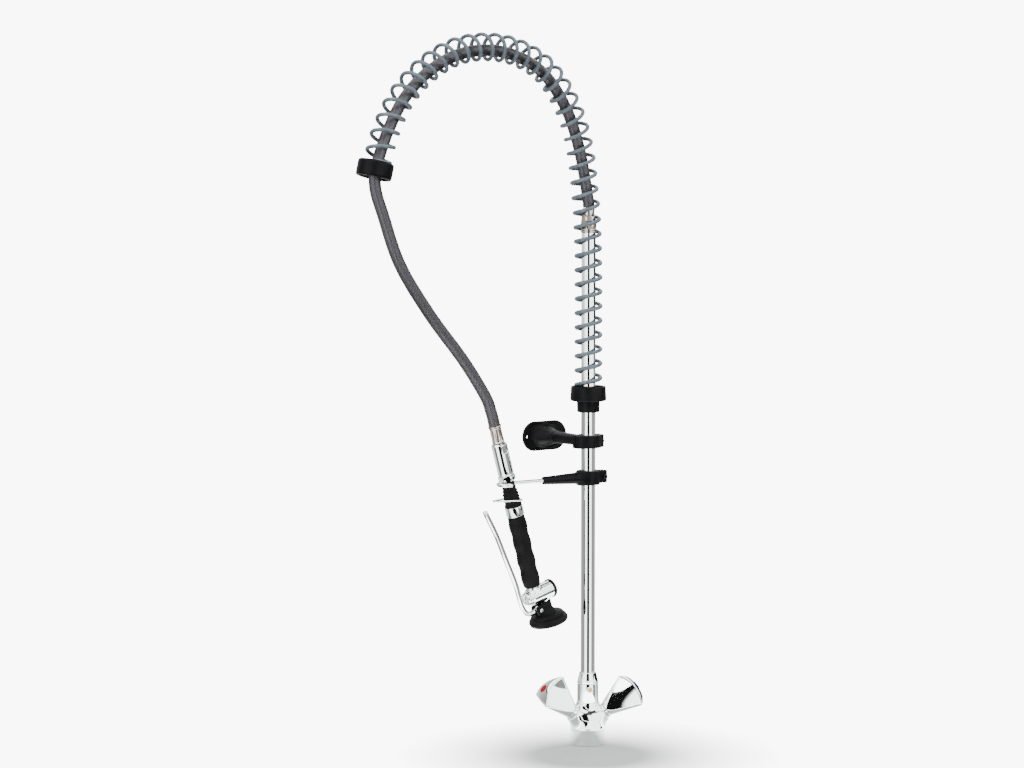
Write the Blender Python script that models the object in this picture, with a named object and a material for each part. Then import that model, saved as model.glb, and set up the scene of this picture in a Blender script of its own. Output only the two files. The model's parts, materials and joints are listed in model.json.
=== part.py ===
"""A deck-mounted pre rinse faucet: two-handle mixer, riser, sprung hose, wall bracket, hook and spray gun.

Metres, +Z up. The origin is the centre of the mixer's underside. The wall is at +Y, and the spring's
arch, the hook and the spray gun lie in the XZ plane towards -X. The mixer is turned about Z.
"""

import math

import bmesh
import bpy
from mathutils import Vector

# Driving dimensions
RISER_RADIUS = 0.011
RISER_WALL = 0.0015
RISER_TOP = 0.794
WALL_DISTANCE = 0.111
CLEARANCE = 0.0004
GAP = 0.0003

# Mixer
MIXER_YAW = math.radians(-25)
BASE_RADIUS = 0.0272
BASE_CAVITY_RADIUS = 0.0195
BASE_CAVITY_DEPTH = 0.016
SOCKET_RADIUS = 0.01625
SOCKET_TOP = 0.0955
CONE_TOP = 0.1124
ARM_HEIGHT = 0.030
ARM_TILT = math.radians(50.8)
ARM_LEAN = math.radians(11.4)
ARM_RADIUS = 0.014
ARM_LENGTH = 0.0318
CARTRIDGE_RADIUS = 0.0086
CARTRIDGE_START = 0.0175
HANDLE_START = 0.0380
HANDLE_END = 0.0982
HANDLE_TURN = {"hot": math.radians(-14.4), "cold": math.radians(202.4)}
GRUB_HEIGHT = 0.087
SPIGOT_BOTTOM = 0.0562

# Support spring and hose
WIRE_RADIUS = 0.003
SPRING_RADIUS = 0.019
LEG_LENGTH = 0.27
LEG_PITCH = 0.0221
ARCH_PITCH = 0.0234
SPRING_START_ANGLE = math.radians(-57)
SEAT_HEIGHT = 0.5445
HOSE_RADIUS = 0.0090
HOSE_START = 0.8333
RING_CENTRE = (-0.4025, 0.8953)
RING_TILT = math.radians(14.5)

# Bracket and hook
BRACKET_HEIGHT = 0.4725
PLATE_WIDTH = 0.086
PLATE_HEIGHT = 0.0465
PLATE_THICKNESS = 0.0048
PLATE_HOLE_OFFSET = 0.034
PLATE_HOLE_RADIUS = 0.0022
CLAMP_RADIUS = 0.0178
HOOK_HEIGHT = 0.4165
HOOK_YAW = math.radians(174.7)
HOOK_ARM_LENGTH = 0.083
HOOK_ROD_RADIUS = 0.003
HOOK_BEND_RADIUS = 0.0147
HOOK_BEND_CENTRE = (-0.157, 0.0)

# Spray gun. Its own frame starts at its hose end, with +Z up along its axis and +X towards the riser.
GUN_TOP = (-0.1827, 0.0, 0.5081)
GUN_TILT = math.radians(-16.2)
VALVE_DEPTH = 0.277
VALVE_RADIUS = 0.0133
VALVE_LEFT = -0.0140
VALVE_RIGHT = 0.0300
PLUNGER_RADIUS = 0.003
PIVOT = (0.0005, -0.3010)
LEVER_RADIUS = 0.004
BAIL_DEPTH = 0.120
BAIL_RADIUS = 0.0153
BAIL_WIRE = 0.0013
BAIL_NOSE = 0.034
BAIL_NOSE_RADIUS = 0.0068
SPRAY_OFFSET = 0.015
SPRAY_RADIUS = 0.0295

SIDES = 16
WIDE_SIDES = 20
SMALL_SIDES = 8
GUIDE_PHASE = 0.17

# The spring's centreline and the hose's route, as (x, z) in the plane y = 0
SPRING_ROUTE = [
    (0.0, 0.5478),
    (0.0, 0.620),
    (0.0, 0.700),
    (-0.0008, 0.765),
    (-0.0030, 0.8105),
    (-0.0062, 0.845),
    (-0.0175, 0.923),
    (-0.0425, 0.988),
    (-0.085, 1.040),
    (-0.140, 1.0675),
    (-0.200, 1.0756),
    (-0.260, 1.066),
    (-0.3135, 1.038),
    (-0.355, 0.999),
    (-0.3825, 0.952),
    (-0.3960, 0.914),
    (-0.4007, 0.9013),
]
HOSE_ROUTE = [
    (0.0, HOSE_START),
    (-0.0022, 0.850),
    (-0.0185, 0.921),
    (-0.0450, 0.984),
    (-0.0875, 1.0355),
    (-0.1415, 1.0625),
    (-0.200, 1.0705),
    (-0.2585, 1.061),
    (-0.3110, 1.034),
    (-0.3515, 0.996),
    (-0.3795, 0.950),
    (-0.3960, 0.911),
    (-0.4020, 0.893),
    (-0.4012, 0.866),
    (-0.3881, 0.8295),
    (-0.3577, 0.7556),
    (-0.3031, 0.6798),
    (-0.2420, 0.6100),
    (-0.2010, 0.5545),
    (-0.1895, 0.5300),
    (-0.18278, 0.50839),
]

# The lever's bend in the gun's frame, as (x, z), from its tip to its eye
LEVER_ROUTE = [
    (-0.0543, -0.1180),
    (-0.0438, -0.1607),
    (-0.0368, -0.2041),
    (-0.0302, -0.2444),
    (-0.0284, -0.2731),
    (-0.0270, -0.2880),
    (-0.0226, -0.2975),
    (-0.0146, -0.3012),
    (-0.0050, -0.3012),
]


def clear_scene():
    for item in list(bpy.data.objects):
        bpy.data.objects.remove(item)


def skin(name, colour, roughness, metallic):
    material = bpy.data.materials.new(name)
    material.use_nodes = True
    shader = material.node_tree.nodes["Principled BSDF"]
    shader.inputs["Base Color"].default_value = (*colour, 1.0)
    shader.inputs["Roughness"].default_value = roughness
    shader.inputs["Metallic"].default_value = metallic
    return material


def chrome(name):
    return skin(name, (0.80, 0.81, 0.82), 0.08, 1.0)


def brass(name):
    return skin(name, (0.78, 0.62, 0.34), 0.25, 1.0)


def nickel(name):
    return skin(name, (0.74, 0.69, 0.60), 0.28, 1.0)


def black_steel(name):
    return skin(name, (0.030, 0.030, 0.032), 0.40, 1.0)


def plastic(name):
    return skin(name, (0.018, 0.018, 0.020), 0.35, 0.0)


def rubber(name):
    return skin(name, (0.028, 0.028, 0.029), 0.6, 0.0)


def frame_at(name, location, tilt=0.0, yaw=0.0, parent=None):
    """An empty that carries pieces; its origin and Z lie on their axis."""
    empty = bpy.data.objects.new(name, None)
    bpy.context.scene.collection.objects.link(empty)
    empty.location = location
    empty.rotation_euler = (0.0, tilt, yaw)
    empty.parent = parent
    return empty


def add(name, shape, material=None, parent=None, location=(0, 0, 0), rotation=(0, 0, 0)):
    """A named object made from a bmesh, shaded smooth except at sharp corners."""
    bmesh.ops.recalc_face_normals(shape, faces=shape.faces)
    mesh = bpy.data.meshes.new(name)
    shape.to_mesh(mesh)
    shape.free()
    mesh.shade_smooth()
    mesh.set_sharp_from_angle(angle=math.radians(40))
    piece = bpy.data.objects.new(name, mesh)
    bpy.context.scene.collection.objects.link(piece)
    if material:
        mesh.materials.append(material(name))
    piece.parent = parent
    piece.location = location
    piece.rotation_euler = rotation
    return piece


def operate(piece, other, operation):
    """Cuts other out of piece, or joins it on, and leaves other as a hidden guide."""
    other.hide_render = True
    other.display_type = "WIRE"
    step = piece.modifiers.new(other.name, "BOOLEAN")
    step.operation = operation
    step.object = other
    return piece


def cut(piece, *others):
    for other in others:
        operate(piece, other, "DIFFERENCE")


def join(piece, *others):
    for other in others:
        operate(piece, other, "UNION")


def bridge(shape, low, high, sides):
    """Faces between two rows of points; a row of one point is a pole."""
    for i in range(sides):
        j = (i + 1) % sides
        corners = [low[i % len(low)], low[j % len(low)], high[j % len(high)], high[i % len(high)]]
        shape.faces.new(list(dict.fromkeys(corners)))


def circle_row(shape, radius, height, sides, lobed=None, phase=0.0):
    if radius == 0:
        return [shape.verts.new((0, 0, height))]
    row = []
    for i in range(sides):
        angle = 2 * math.pi * (i + phase) / sides
        reach = lobed(radius, angle) if lobed else radius
        row.append(shape.verts.new((reach * math.cos(angle), reach * math.sin(angle), height)))
    return row


def turned(name, profile, material=None, sides=SIDES, **place):
    """A solid of revolution about Z. A profile that starts and ends on the axis is solid;
    any other one closes on itself round a bore. A guide, which has no material, is turned
    a little, so that its edges miss those of the piece it cuts."""
    shape = bmesh.new()
    phase = 0.0 if material else GUIDE_PHASE
    rows = [circle_row(shape, radius, height, sides, phase=phase) for radius, height in profile]
    for low, high in zip(rows, rows[1:]):
        bridge(shape, low, high, sides)
    if profile[0][0] > 0:
        bridge(shape, rows[-1], rows[0], sides)
    return add(name, shape, material, **place)


def tube(name, outer, inner, bottom, top, material=None, sides=SIDES, **place):
    profile = [(outer, bottom), (outer, top), (inner, top), (inner, bottom)]
    return turned(name, profile, material, sides, **place)


def rod(name, radius, bottom, top, material=None, sides=SIDES, **place):
    profile = [(0, bottom), (radius, bottom), (radius, top), (0, top)]
    return turned(name, profile, material, sides, **place)


def screw(name, head_radius, head, shank_radius, length, material, **place):
    """A cap screw along Z: the head's top is at z = head, and the shank runs down to -length."""
    socket = 0.55 * head_radius
    profile = [
        (0, -length),
        (shank_radius, -length),
        (shank_radius, 0),
        (head_radius, 0),
        (head_radius, head),
        (socket, head),
        (socket, 0.4 * head),
        (0, 0.4 * head),
    ]
    return turned(name, profile, material, SMALL_SIDES, **place)


def block(name, low, high, material=None, **place):
    """A box from its lowest to its highest corner."""
    shape = bmesh.new()
    bmesh.ops.create_cube(shape, size=1.0)
    for vertex in shape.verts:
        for axis in range(3):
            vertex.co[axis] = low[axis] if vertex.co[axis] < 0 else high[axis]
    return add(name, shape, material, **place)


def smooth_route(points, step):
    """Points about step apart along the Catmull-Rom curve through the given ones."""
    path = [Vector(p) for p in points]
    ends = [path[0] * 2 - path[1], *path, path[-1] * 2 - path[-2]]
    fine = []
    for a, b, c, d in zip(ends, ends[1:], ends[2:], ends[3:]):
        for i in range(24):
            t = i / 24
            fine.append(
                0.5 * ((2 * b) + (c - a) * t + (2 * a - 5 * b + 4 * c - d) * t**2)
                + 0.5 * (3 * b - a - 3 * c + d) * t**3
            )
    fine.append(path[-1])
    return even_points(fine, step)


def even_points(fine, step):
    """The same line with its points at one spacing."""
    reach = [0.0]
    for a, b in zip(fine, fine[1:]):
        reach.append(reach[-1] + (b - a).length)
    count = max(2, round(reach[-1] / step))
    result, k = [], 0
    for i in range(count + 1):
        want = reach[-1] * i / count
        while k < len(fine) - 2 and reach[k + 1] < want:
            k += 1
        share = (want - reach[k]) / (reach[k + 1] - reach[k])
        result.append(fine[k].lerp(fine[k + 1], share))
    return result


def in_plane(route):
    return [(x, 0.0, z) for x, z in route]


def swept(name, points, radius, sides, material=None, closed=False, **place):
    """A round wire along the points, square to it at each one."""
    shape = bmesh.new()
    path = [Vector(p) for p in points]
    count = len(path)
    rows, side = [], None
    for i, point in enumerate(path):
        after = path[(i + 1) % count] if closed or i < count - 1 else point
        before = path[i - 1] if closed or i > 0 else point
        along = (after - before).normalized()
        if side is None:
            side = along.orthogonal()
        side = (side - along * side.dot(along)).normalized()
        other = along.cross(side)
        row = []
        for k in range(sides):
            angle = 2 * math.pi * (k + 0.5) / sides
            row.append(shape.verts.new(point + radius * (side * math.cos(angle) + other * math.sin(angle))))
        rows.append(row)
    for low, high in zip(rows, rows[1:]):
        bridge(shape, low, high, sides)
    if closed:
        bridge(shape, rows[-1], rows[0], sides)
    else:
        shape.faces.new(rows[0])
        shape.faces.new(rows[-1])
    return add(name, shape, material, **place)


def arc_points(centre, radius, start, end, count):
    """Points on a level circle, from the start angle to the end angle."""
    points = []
    x, y, z = centre
    for i in range(count + 1):
        angle = start + (end - start) * i / count
        points.append((x + radius * math.cos(angle), y + radius * math.sin(angle), z))
    return points


# Mixer


def build_mixer(mixer, arms):
    outline = [
        (0, 0),
        (BASE_RADIUS, 0),
        (BASE_RADIUS, 0.026),
        (0.0262, 0.032),
        (0.0235, 0.040),
        (0.0200, 0.048),
        (0.0174, 0.056),
        (SOCKET_RADIUS, 0.064),
        (SOCKET_RADIUS, SOCKET_TOP),
        (0, SOCKET_TOP),
    ]
    body = turned("mixer_body", outline, chrome, WIDE_SIDES, parent=mixer)
    for side, arm in arms.items():
        join(body, rod(side + "_arm", ARM_RADIUS, 0.0, ARM_LENGTH, parent=arm))
    seal_inner, seal_outer, seal_depth = 0.0217, 0.0243, 0.0017
    groove = (seal_outer + 2 * GAP, seal_inner - 2 * GAP, -0.001, seal_depth + GAP)
    cut(
        body,
        rod("base_cavity", BASE_CAVITY_RADIUS, -0.001, BASE_CAVITY_DEPTH, parent=mixer),
        tube("seal_groove", *groove, parent=mixer),
    )
    bore = [
        (0, 0.031),
        (0.006, 0.031),
        (0.006, SPIGOT_BOTTOM - 0.0005),
        (RISER_RADIUS + CLEARANCE, SPIGOT_BOTTOM - 0.0005),
        (RISER_RADIUS + CLEARANCE, SOCKET_TOP + 0.001),
        (0, SOCKET_TOP + 0.001),
    ]
    cut(body, turned("socket_bore", bore, parent=mixer))
    cartridge_bore = [
        (0, 0.0055),
        (0.0035, 0.0055),
        (0.0035, CARTRIDGE_START - GAP),
        (CARTRIDGE_RADIUS + GAP, CARTRIDGE_START - GAP),
        (CARTRIDGE_RADIUS + GAP, ARM_LENGTH + 0.001),
        (0, ARM_LENGTH + 0.001),
    ]
    for side, arm in arms.items():
        cut(body, turned(side + "_arm_bore", cartridge_bore, sides=14, parent=arm))
    for side, x in (("hot", -0.014), ("cold", 0.014)):
        inlet = rod(side + "_inlet", 0.0042, 0.015, 0.034, sides=10, parent=mixer, location=(x, 0.001, 0))
        cut(body, inlet)
    stud = rod("stud_hole", 0.0033, 0.015, 0.029, sides=SMALL_SIDES, parent=mixer, location=(0, -0.013, 0))
    grub_place = {"parent": mixer, "location": (0, 0, GRUB_HEIGHT), "rotation": (math.radians(90), 0, 0)}
    cut(body, stud, rod("grub_hole", 0.0033, 0.006, 0.020, sides=SMALL_SIDES, **grub_place))
    tube("base_seal", seal_outer, seal_inner, 0, seal_depth, rubber, WIDE_SIDES, parent=mixer)

    bore_radius = RISER_RADIUS + CLEARANCE
    cone = [
        (SOCKET_RADIUS, SOCKET_TOP + GAP),
        (SOCKET_RADIUS, SOCKET_TOP + 0.0028),
        (0.0130, CONE_TOP),
        (bore_radius, CONE_TOP),
        (bore_radius, SOCKET_TOP + GAP),
    ]
    turned("socket_cone", cone, chrome, SIDES, parent=mixer)
    grub = [
        (0, 0.0099),
        (0.0022, 0.0099),
        (0.0030, 0.0108),
        (0.0030, 0.0156),
        (0.0016, 0.0156),
        (0.0016, 0.0132),
        (0, 0.0132),
    ]
    turned("grub_screw", grub, brass, SMALL_SIDES, **grub_place)


def lobe_reach(valley, angle):
    """How far out the handle's surface is, as a share of the way from its flutes to its lobes."""
    return valley + (1 - valley) * ((1 + math.cos(3 * angle)) / 2) ** 2.2


def build_handle(side, arm):
    """Cartridge, spindle, cover sleeve and three-lobed handle, all turned about the arm's axis."""
    spindle = 0.0040
    cartridge = [
        (CARTRIDGE_RADIUS, CARTRIDGE_START),
        (CARTRIDGE_RADIUS, 0.0340),
        (spindle + GAP, 0.0340),
        (spindle + GAP, 0.0210),
        (0.0030, 0.0210),
        (0.0030, CARTRIDGE_START),
    ]
    turned(side + "_cartridge", cartridge, brass, SMALL_SIDES, parent=arm)
    bore = CARTRIDGE_RADIUS + GAP
    tube(side + "_sleeve", 0.0120, bore, ARM_LENGTH + GAP, HANDLE_START - 0.0005, chrome, SIDES, parent=arm)

    screw_radius, screw_base, web = 0.0020, 0.0670, 0.0040
    spindle_end = screw_base - web - 0.0005
    stem = [
        (0, 0.0213),
        (spindle, 0.0213),
        (spindle, spindle_end),
        (screw_radius + GAP, spindle_end),
        (screw_radius + GAP, spindle_end - 0.0095),
        (0, spindle_end - 0.0095),
    ]
    turned(side + "_spindle", stem, brass, SMALL_SIDES, parent=arm)

    # height along the arm, lobe radius, flute radius as a share of it
    stations = [
        (HANDLE_START, 0.0110, 1.0),
        (0.0460, 0.0142, 0.88),
        (0.0620, 0.0220, 0.66),
        (0.0780, 0.0302, 0.56),
        (0.0862, 0.0336, 0.55),
        (0.0897, 0.0332, 0.56),
        (0.0930, 0.0280, 0.62),
        (0.0960, 0.0185, 0.78),
        (0.0974, 0.0120, 1.0),
        (HANDLE_END, 0.0080, 1.0),
    ]
    sides = 18
    shape = bmesh.new()
    rows = []
    for height, radius, valley in stations:
        lobed = lambda r, angle, v=valley: r * lobe_reach(v, angle)
        rows.append(circle_row(shape, radius, height, sides, lobed))
    mark = 0.0064
    bore = [
        (mark + GAP, HANDLE_END),
        (mark + GAP, screw_base),
        (0.0024, screw_base),
        (0.0024, screw_base - web),
        (spindle + GAP, screw_base - web),
        (spindle + GAP, HANDLE_START),
    ]
    rows += [circle_row(shape, radius, height, sides) for radius, height in bore]
    for low, high in zip(rows, rows[1:] + rows[:1]):
        bridge(shape, low, high, sides)
    add(side + "_handle", shape, chrome, parent=arm, rotation=(0, 0, HANDLE_TURN[side]))
    place = {"parent": arm, "location": (0, 0, screw_base + GAP)}
    screw(side + "_handle_screw", 0.0042, 0.0036, screw_radius, 0.0115, nickel, **place)
    colour = (0.58, 0.01, 0.03) if side == "hot" else (0.02, 0.07, 0.50)
    top = HANDLE_END + 0.0008
    cap = [
        (0, top - 0.0042),
        (mark, top - 0.0042),
        (mark, top - 0.0009),
        (0.6 * mark, top - 0.0001),
        (0, top),
    ]
    turned(side + "_index", cap, lambda name: skin(name, colour, 0.35, 0.0), SMALL_SIDES, parent=arm)


# Riser, spring and hose


def build_riser():
    radius = RISER_RADIUS
    inner = radius - RISER_WALL
    groove = 0.0088
    profile = [(radius, SPIGOT_BOTTOM)]
    rings = (0.0625, 0.0705)
    for height in rings:
        low, high = height - 0.0016, height + 0.0016
        profile += [(radius, low), (groove, low), (groove, high), (radius, high)]
    low, high = GRUB_HEIGHT - 0.0034, GRUB_HEIGHT + 0.0034
    profile += [(radius, low), (0.0096, low), (0.0096, high), (radius, high)]
    joint = 0.0925
    profile += [
        (radius, joint - GAP),
        (inner - GAP, joint - GAP),
        (inner - GAP, 0.105),
        (0.0060, 0.105),
        (0.0060, SPIGOT_BOTTOM),
    ]
    turned("riser_spigot", profile, brass)
    for name, height in zip(("spigot_o_ring_lower", "spigot_o_ring_upper"), rings):
        middle = (groove + radius + CLEARANCE) / 2
        points = arc_points((0, 0, height), middle, 0, 2 * math.pi, 14)[:-1]
        swept(name, points, 0.00100, 6, rubber, closed=True)
    tube("riser_tube", radius, inner, joint, RISER_TOP, chrome)

    adapter = [
        (inner - GAP, RISER_TOP - 0.018),
        (inner - GAP, RISER_TOP + GAP),
        (0.0122, RISER_TOP + GAP),
        (0.0122, RISER_TOP + 0.0060),
        (0.0097, RISER_TOP + 0.0060),
        (0.0097, RISER_TOP + 0.0200),
        (0.0055, RISER_TOP + 0.0200),
        (0.0055, RISER_TOP - 0.018),
    ]
    turned("riser_top_adapter", adapter, nickel)
    nut = rod("hose_nut", 0.0122, RISER_TOP + 0.0063, RISER_TOP + 0.0264, nickel, 6)
    nut_bore = [
        (0, RISER_TOP),
        (0.0101, RISER_TOP),
        (0.0101, RISER_TOP + 0.0243),
        (0.0080, RISER_TOP + 0.0243),
        (0.0080, RISER_TOP + 0.0300),
        (0, RISER_TOP + 0.0300),
    ]
    cut(nut, turned("nut_bore", nut_bore))
    tube("hose_washer", 0.0086, 0.0060, RISER_TOP + 0.0203, RISER_TOP + 0.0219, rubber)
    ferrule = [
        (0.0084, RISER_TOP + 0.0222),
        (0.0084, RISER_TOP + 0.0240),
        (0.0066, RISER_TOP + 0.0240),
        (0.0066, RISER_TOP + 0.0268),
        (0.0092, RISER_TOP + 0.0268),
        (0.0092, HOSE_START - 0.0015),
        (0.0045, HOSE_START - 0.0015),
        (0.0045, RISER_TOP + 0.0222),
    ]
    turned("hose_ferrule_lower", ferrule, nickel)

    bore = radius + CLEARANCE
    seat = [
        (0.0172, SEAT_HEIGHT - 0.0265),
        (0.0176, SEAT_HEIGHT - 0.0085),
        (0.0274, SEAT_HEIGHT - 0.0075),
        (0.0268, SEAT_HEIGHT + 0.0135),
        (0.0232, SEAT_HEIGHT + 0.0135),
        (0.0232, SEAT_HEIGHT),
        (bore, SEAT_HEIGHT),
        (bore, SEAT_HEIGHT - 0.0265),
    ]
    body = turned("spring_seat", seat, plastic, WIDE_SIDES)
    place = {"location": (0, 0, SEAT_HEIGHT - 0.0175), "rotation": (0, math.radians(90), 0)}
    cut(body, rod("seat_screw_hole", 0.0024, 0.009, 0.020, sides=SMALL_SIDES, **place))
    inner, outer = 0.01145, 0.0168
    grub = [(0, inner), (0.0020, inner), (0.0020, outer), (0.0011, outer), (0.0011, 0.0150), (0, 0.0150)]
    turned("seat_screw", grub, nickel, SMALL_SIDES, **place)


def helix_points(route, step, per_turn):
    """The coil's centreline round the route; the pitch opens a little in the arch.
    Its corners stand as far outside the coil's radius as its flats stand inside."""
    radius = 2 * SPRING_RADIUS / (1 + math.cos(math.pi / per_turn))
    path = smooth_route(in_plane(route), step)
    length = step * (len(path) - 1)
    turns = LEG_LENGTH / LEG_PITCH + (length - LEG_LENGTH) / ARCH_PITCH
    points = []
    count = round(turns * per_turn)
    for i in range(count + 1):
        turn = turns * i / count
        leg = min(turn, LEG_LENGTH / LEG_PITCH)
        reach = min(leg * LEG_PITCH + (turn - leg) * ARCH_PITCH, length)
        place = reach / length * (len(path) - 1)
        k = min(int(place), len(path) - 2)
        centre = path[k].lerp(path[k + 1], place - k)
        along = (path[k + 1] - path[k]).normalized()
        side = Vector((along.z, 0, -along.x))
        angle = SPRING_START_ANGLE + 2 * math.pi * turn
        offset = side * math.cos(angle) + Vector((0, 1, 0)) * math.sin(angle)
        points.append(centre + radius * offset)
    return points


def build_spring():
    coating = lambda name: skin(name, (0.11, 0.14, 0.17), 0.35, 0.3)
    swept("support_spring", helix_points(SPRING_ROUTE, 0.002, 8), WIRE_RADIUS, 4, coating)
    ring = [
        (0.0240, -0.0120),
        (0.0260, -0.0115),
        (0.0268, -0.0100),
        (0.0268, 0.0110),
        (0.0260, 0.0120),
        (0.0242, 0.0120),
        (0.0242, 0.0010),
        (0.0125, 0.0010),
        (0.0125, -0.0090),
        (0.0215, -0.0095),
    ]
    place = {"location": (RING_CENTRE[0], 0, RING_CENTRE[1]), "rotation": (0, RING_TILT, 0)}
    turned("spring_end_ring", ring, plastic, WIDE_SIDES, **place)


def build_hose():
    curve = bpy.data.curves.new("hose", "CURVE")
    curve.dimensions = "3D"
    curve.bevel_depth = HOSE_RADIUS
    curve.bevel_resolution = 2
    curve.use_fill_caps = True
    points = smooth_route(in_plane(HOSE_ROUTE), 2.2 * HOSE_RADIUS)
    spline = curve.splines.new("POLY")
    spline.points.add(len(points) - 1)
    for target, point in zip(spline.points, points):
        target.co = (*point, 1.0)
    curve.materials.append(skin("hose", (0.20, 0.20, 0.23), 0.5, 0.3))
    bpy.context.scene.collection.objects.link(bpy.data.objects.new("hose", curve))


# Wall bracket and hook


def section_loft(name, sections, material=None, **place):
    """A solid along Y through rectangles, each (y, half width, half height)."""
    shape = bmesh.new()
    rows = []
    for y, half_width, half_height in sections:
        corners = [(-1, -1), (1, -1), (1, 1), (-1, 1)]
        rows.append([shape.verts.new((half_width * a, y, half_height * b)) for a, b in corners])
    for low, high in zip(rows, rows[1:]):
        bridge(shape, low, high, 4)
    shape.faces.new(rows[0])
    shape.faces.new(rows[-1])
    return add(name, shape, material, **place)


def stadium(name, width, height, low, high, material=None, **place):
    """A plate with round ends in the XZ plane, from y = low to y = high."""
    shape = bmesh.new()
    radius = height / 2
    straight = width / 2 - radius
    rows = []
    for y in (low, high):
        row = []
        for sign, first in ((1, -90), (-1, 90)):
            for i in range(9):
                angle = math.radians(first + 180 * i / 8)
                x = sign * straight + radius * math.cos(angle)
                row.append(shape.verts.new((x, y, radius * math.sin(angle))))
        rows.append(row)
    bridge(shape, rows[0], rows[1], len(rows[0]))
    shape.faces.new(rows[0])
    shape.faces.new(rows[1])
    return add(name, shape, material, **place)


def build_bracket():
    place = {"location": (0, 0, BRACKET_HEIGHT)}
    half = 0.0100
    ear_reach, ear_depth = 0.0255, 0.0075
    split = 0.0006
    bore = RISER_RADIUS + CLEARANCE
    front = WALL_DISTANCE - PLATE_THICKNESS
    plate = stadium("wall_bracket", PLATE_WIDTH, PLATE_HEIGHT, front, WALL_DISTANCE, plastic, **place)
    sections = [
        (front + 0.001, 0.0250, 0.0165),
        (front - 0.016, 0.0125, 0.0110),
        (front - 0.030, 0.0088, 0.0082),
        (0.0140, 0.0082, 0.0072),
    ]
    boss = section_loft("bracket_boss", sections, **place)
    collar = rod("bracket_collar", CLAMP_RADIUS, -half, half, **place)
    ears = block("bracket_ears", (-ear_reach, split, -half), (ear_reach, ear_depth, half), **place)
    join(plate, boss, collar, ears)
    cut(
        plate,
        block("bracket_half", (-0.03, -0.03, -0.02), (0.03, split, 0.02), **place),
        rod("bracket_bore", bore, -0.02, 0.02, **place),
    )
    across = (math.radians(90), 0, 0)
    for i, x in enumerate((-PLATE_HOLE_OFFSET, PLATE_HOLE_OFFSET)):
        hole = {"location": (x, WALL_DISTANCE + 0.001, BRACKET_HEIGHT), "rotation": across}
        cut(plate, rod(f"plate_hole_{i}", PLATE_HOLE_RADIUS, 0, 0.010, sides=SMALL_SIDES, **hole))

    cap = rod("bracket_cap", CLAMP_RADIUS, -half, half, plastic, **place)
    join(cap, block("cap_ears", (-ear_reach, -ear_depth, -half), (ear_reach, -split, half), **place))
    cut(
        cap,
        block("cap_half", (-0.03, -split, -0.02), (0.03, 0.03, 0.02), **place),
        rod("cap_bore", bore, -0.02, 0.02, **place),
    )
    for name, x in (("bracket_screw_left", -0.0215), ("bracket_screw_right", 0.0215)):
        at = (x, -ear_depth - GAP, BRACKET_HEIGHT)
        for piece in (plate, cap):
            hole = {"location": (x, 0.011, BRACKET_HEIGHT), "rotation": across}
            cut(piece, rod(piece.name + name, 0.0018, 0, 0.022, sides=SMALL_SIDES, **hole))
        screw(name, 0.0030, 0.0022, 0.0015, 0.0135, black_steel, location=at, rotation=across)


def build_hook():
    place = {"location": (0, 0, HOOK_HEIGHT)}
    arm_place = {**place, "rotation": (0, math.radians(90), HOOK_YAW)}
    half = 0.0109
    ear_reach, ear_side, slit = 0.0335, 0.0070, 0.0012
    clamp = rod("hook_clamp", CLAMP_RADIUS, -half, half, plastic, **place)
    arm = rod("hook_arm", 0.0083, 0.0, HOOK_ARM_LENGTH, **arm_place)
    for vertex in arm.data.vertices:
        if vertex.co.z > 0.01:
            vertex.co.xy *= 0.65
    ear_half = half - 0.001
    ears = block("hook_ears", (0.010, -ear_side, -ear_half), (ear_reach, ear_side, ear_half), **place)
    join(clamp, arm, ears)
    bore = RISER_RADIUS + CLEARANCE
    rod_start = HOOK_ARM_LENGTH - 0.020
    across = (math.radians(90), 0, 0)
    hole = {"location": (0.0270, 0, HOOK_HEIGHT), "rotation": across}
    screw_at = (0.0270, -ear_side - GAP, HOOK_HEIGHT)
    cut(
        clamp,
        rod("hook_clamp_bore", bore, -0.02, 0.02, **place),
        block("hook_slit", (0.008, -slit, -0.02), (0.04, slit, 0.02), **place),
        rod("hook_arm_bore", HOOK_ROD_RADIUS + GAP, rod_start, HOOK_ARM_LENGTH + 0.01, **arm_place),
        rod("hook_screw_hole", 0.0022, -0.010, 0.020, sides=SMALL_SIDES, **hole),
    )
    screw("hook_screw", 0.0038, 0.0030, 0.0019, 0.0130, black_steel, location=screw_at, rotation=across)

    yaw = HOOK_YAW
    direction = Vector((math.cos(yaw), math.sin(yaw), 0))
    first = direction * (rod_start + GAP) + Vector((0, 0, HOOK_HEIGHT))
    last = math.radians(262)
    touch = yaw - math.radians(90)
    centre = (*HOOK_BEND_CENTRE, HOOK_HEIGHT)
    bend = arc_points(centre, HOOK_BEND_RADIUS, touch, last, 14)
    swept("hook_rod", [first, *bend], HOOK_ROD_RADIUS, 8, chrome)


# Spray gun


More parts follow.
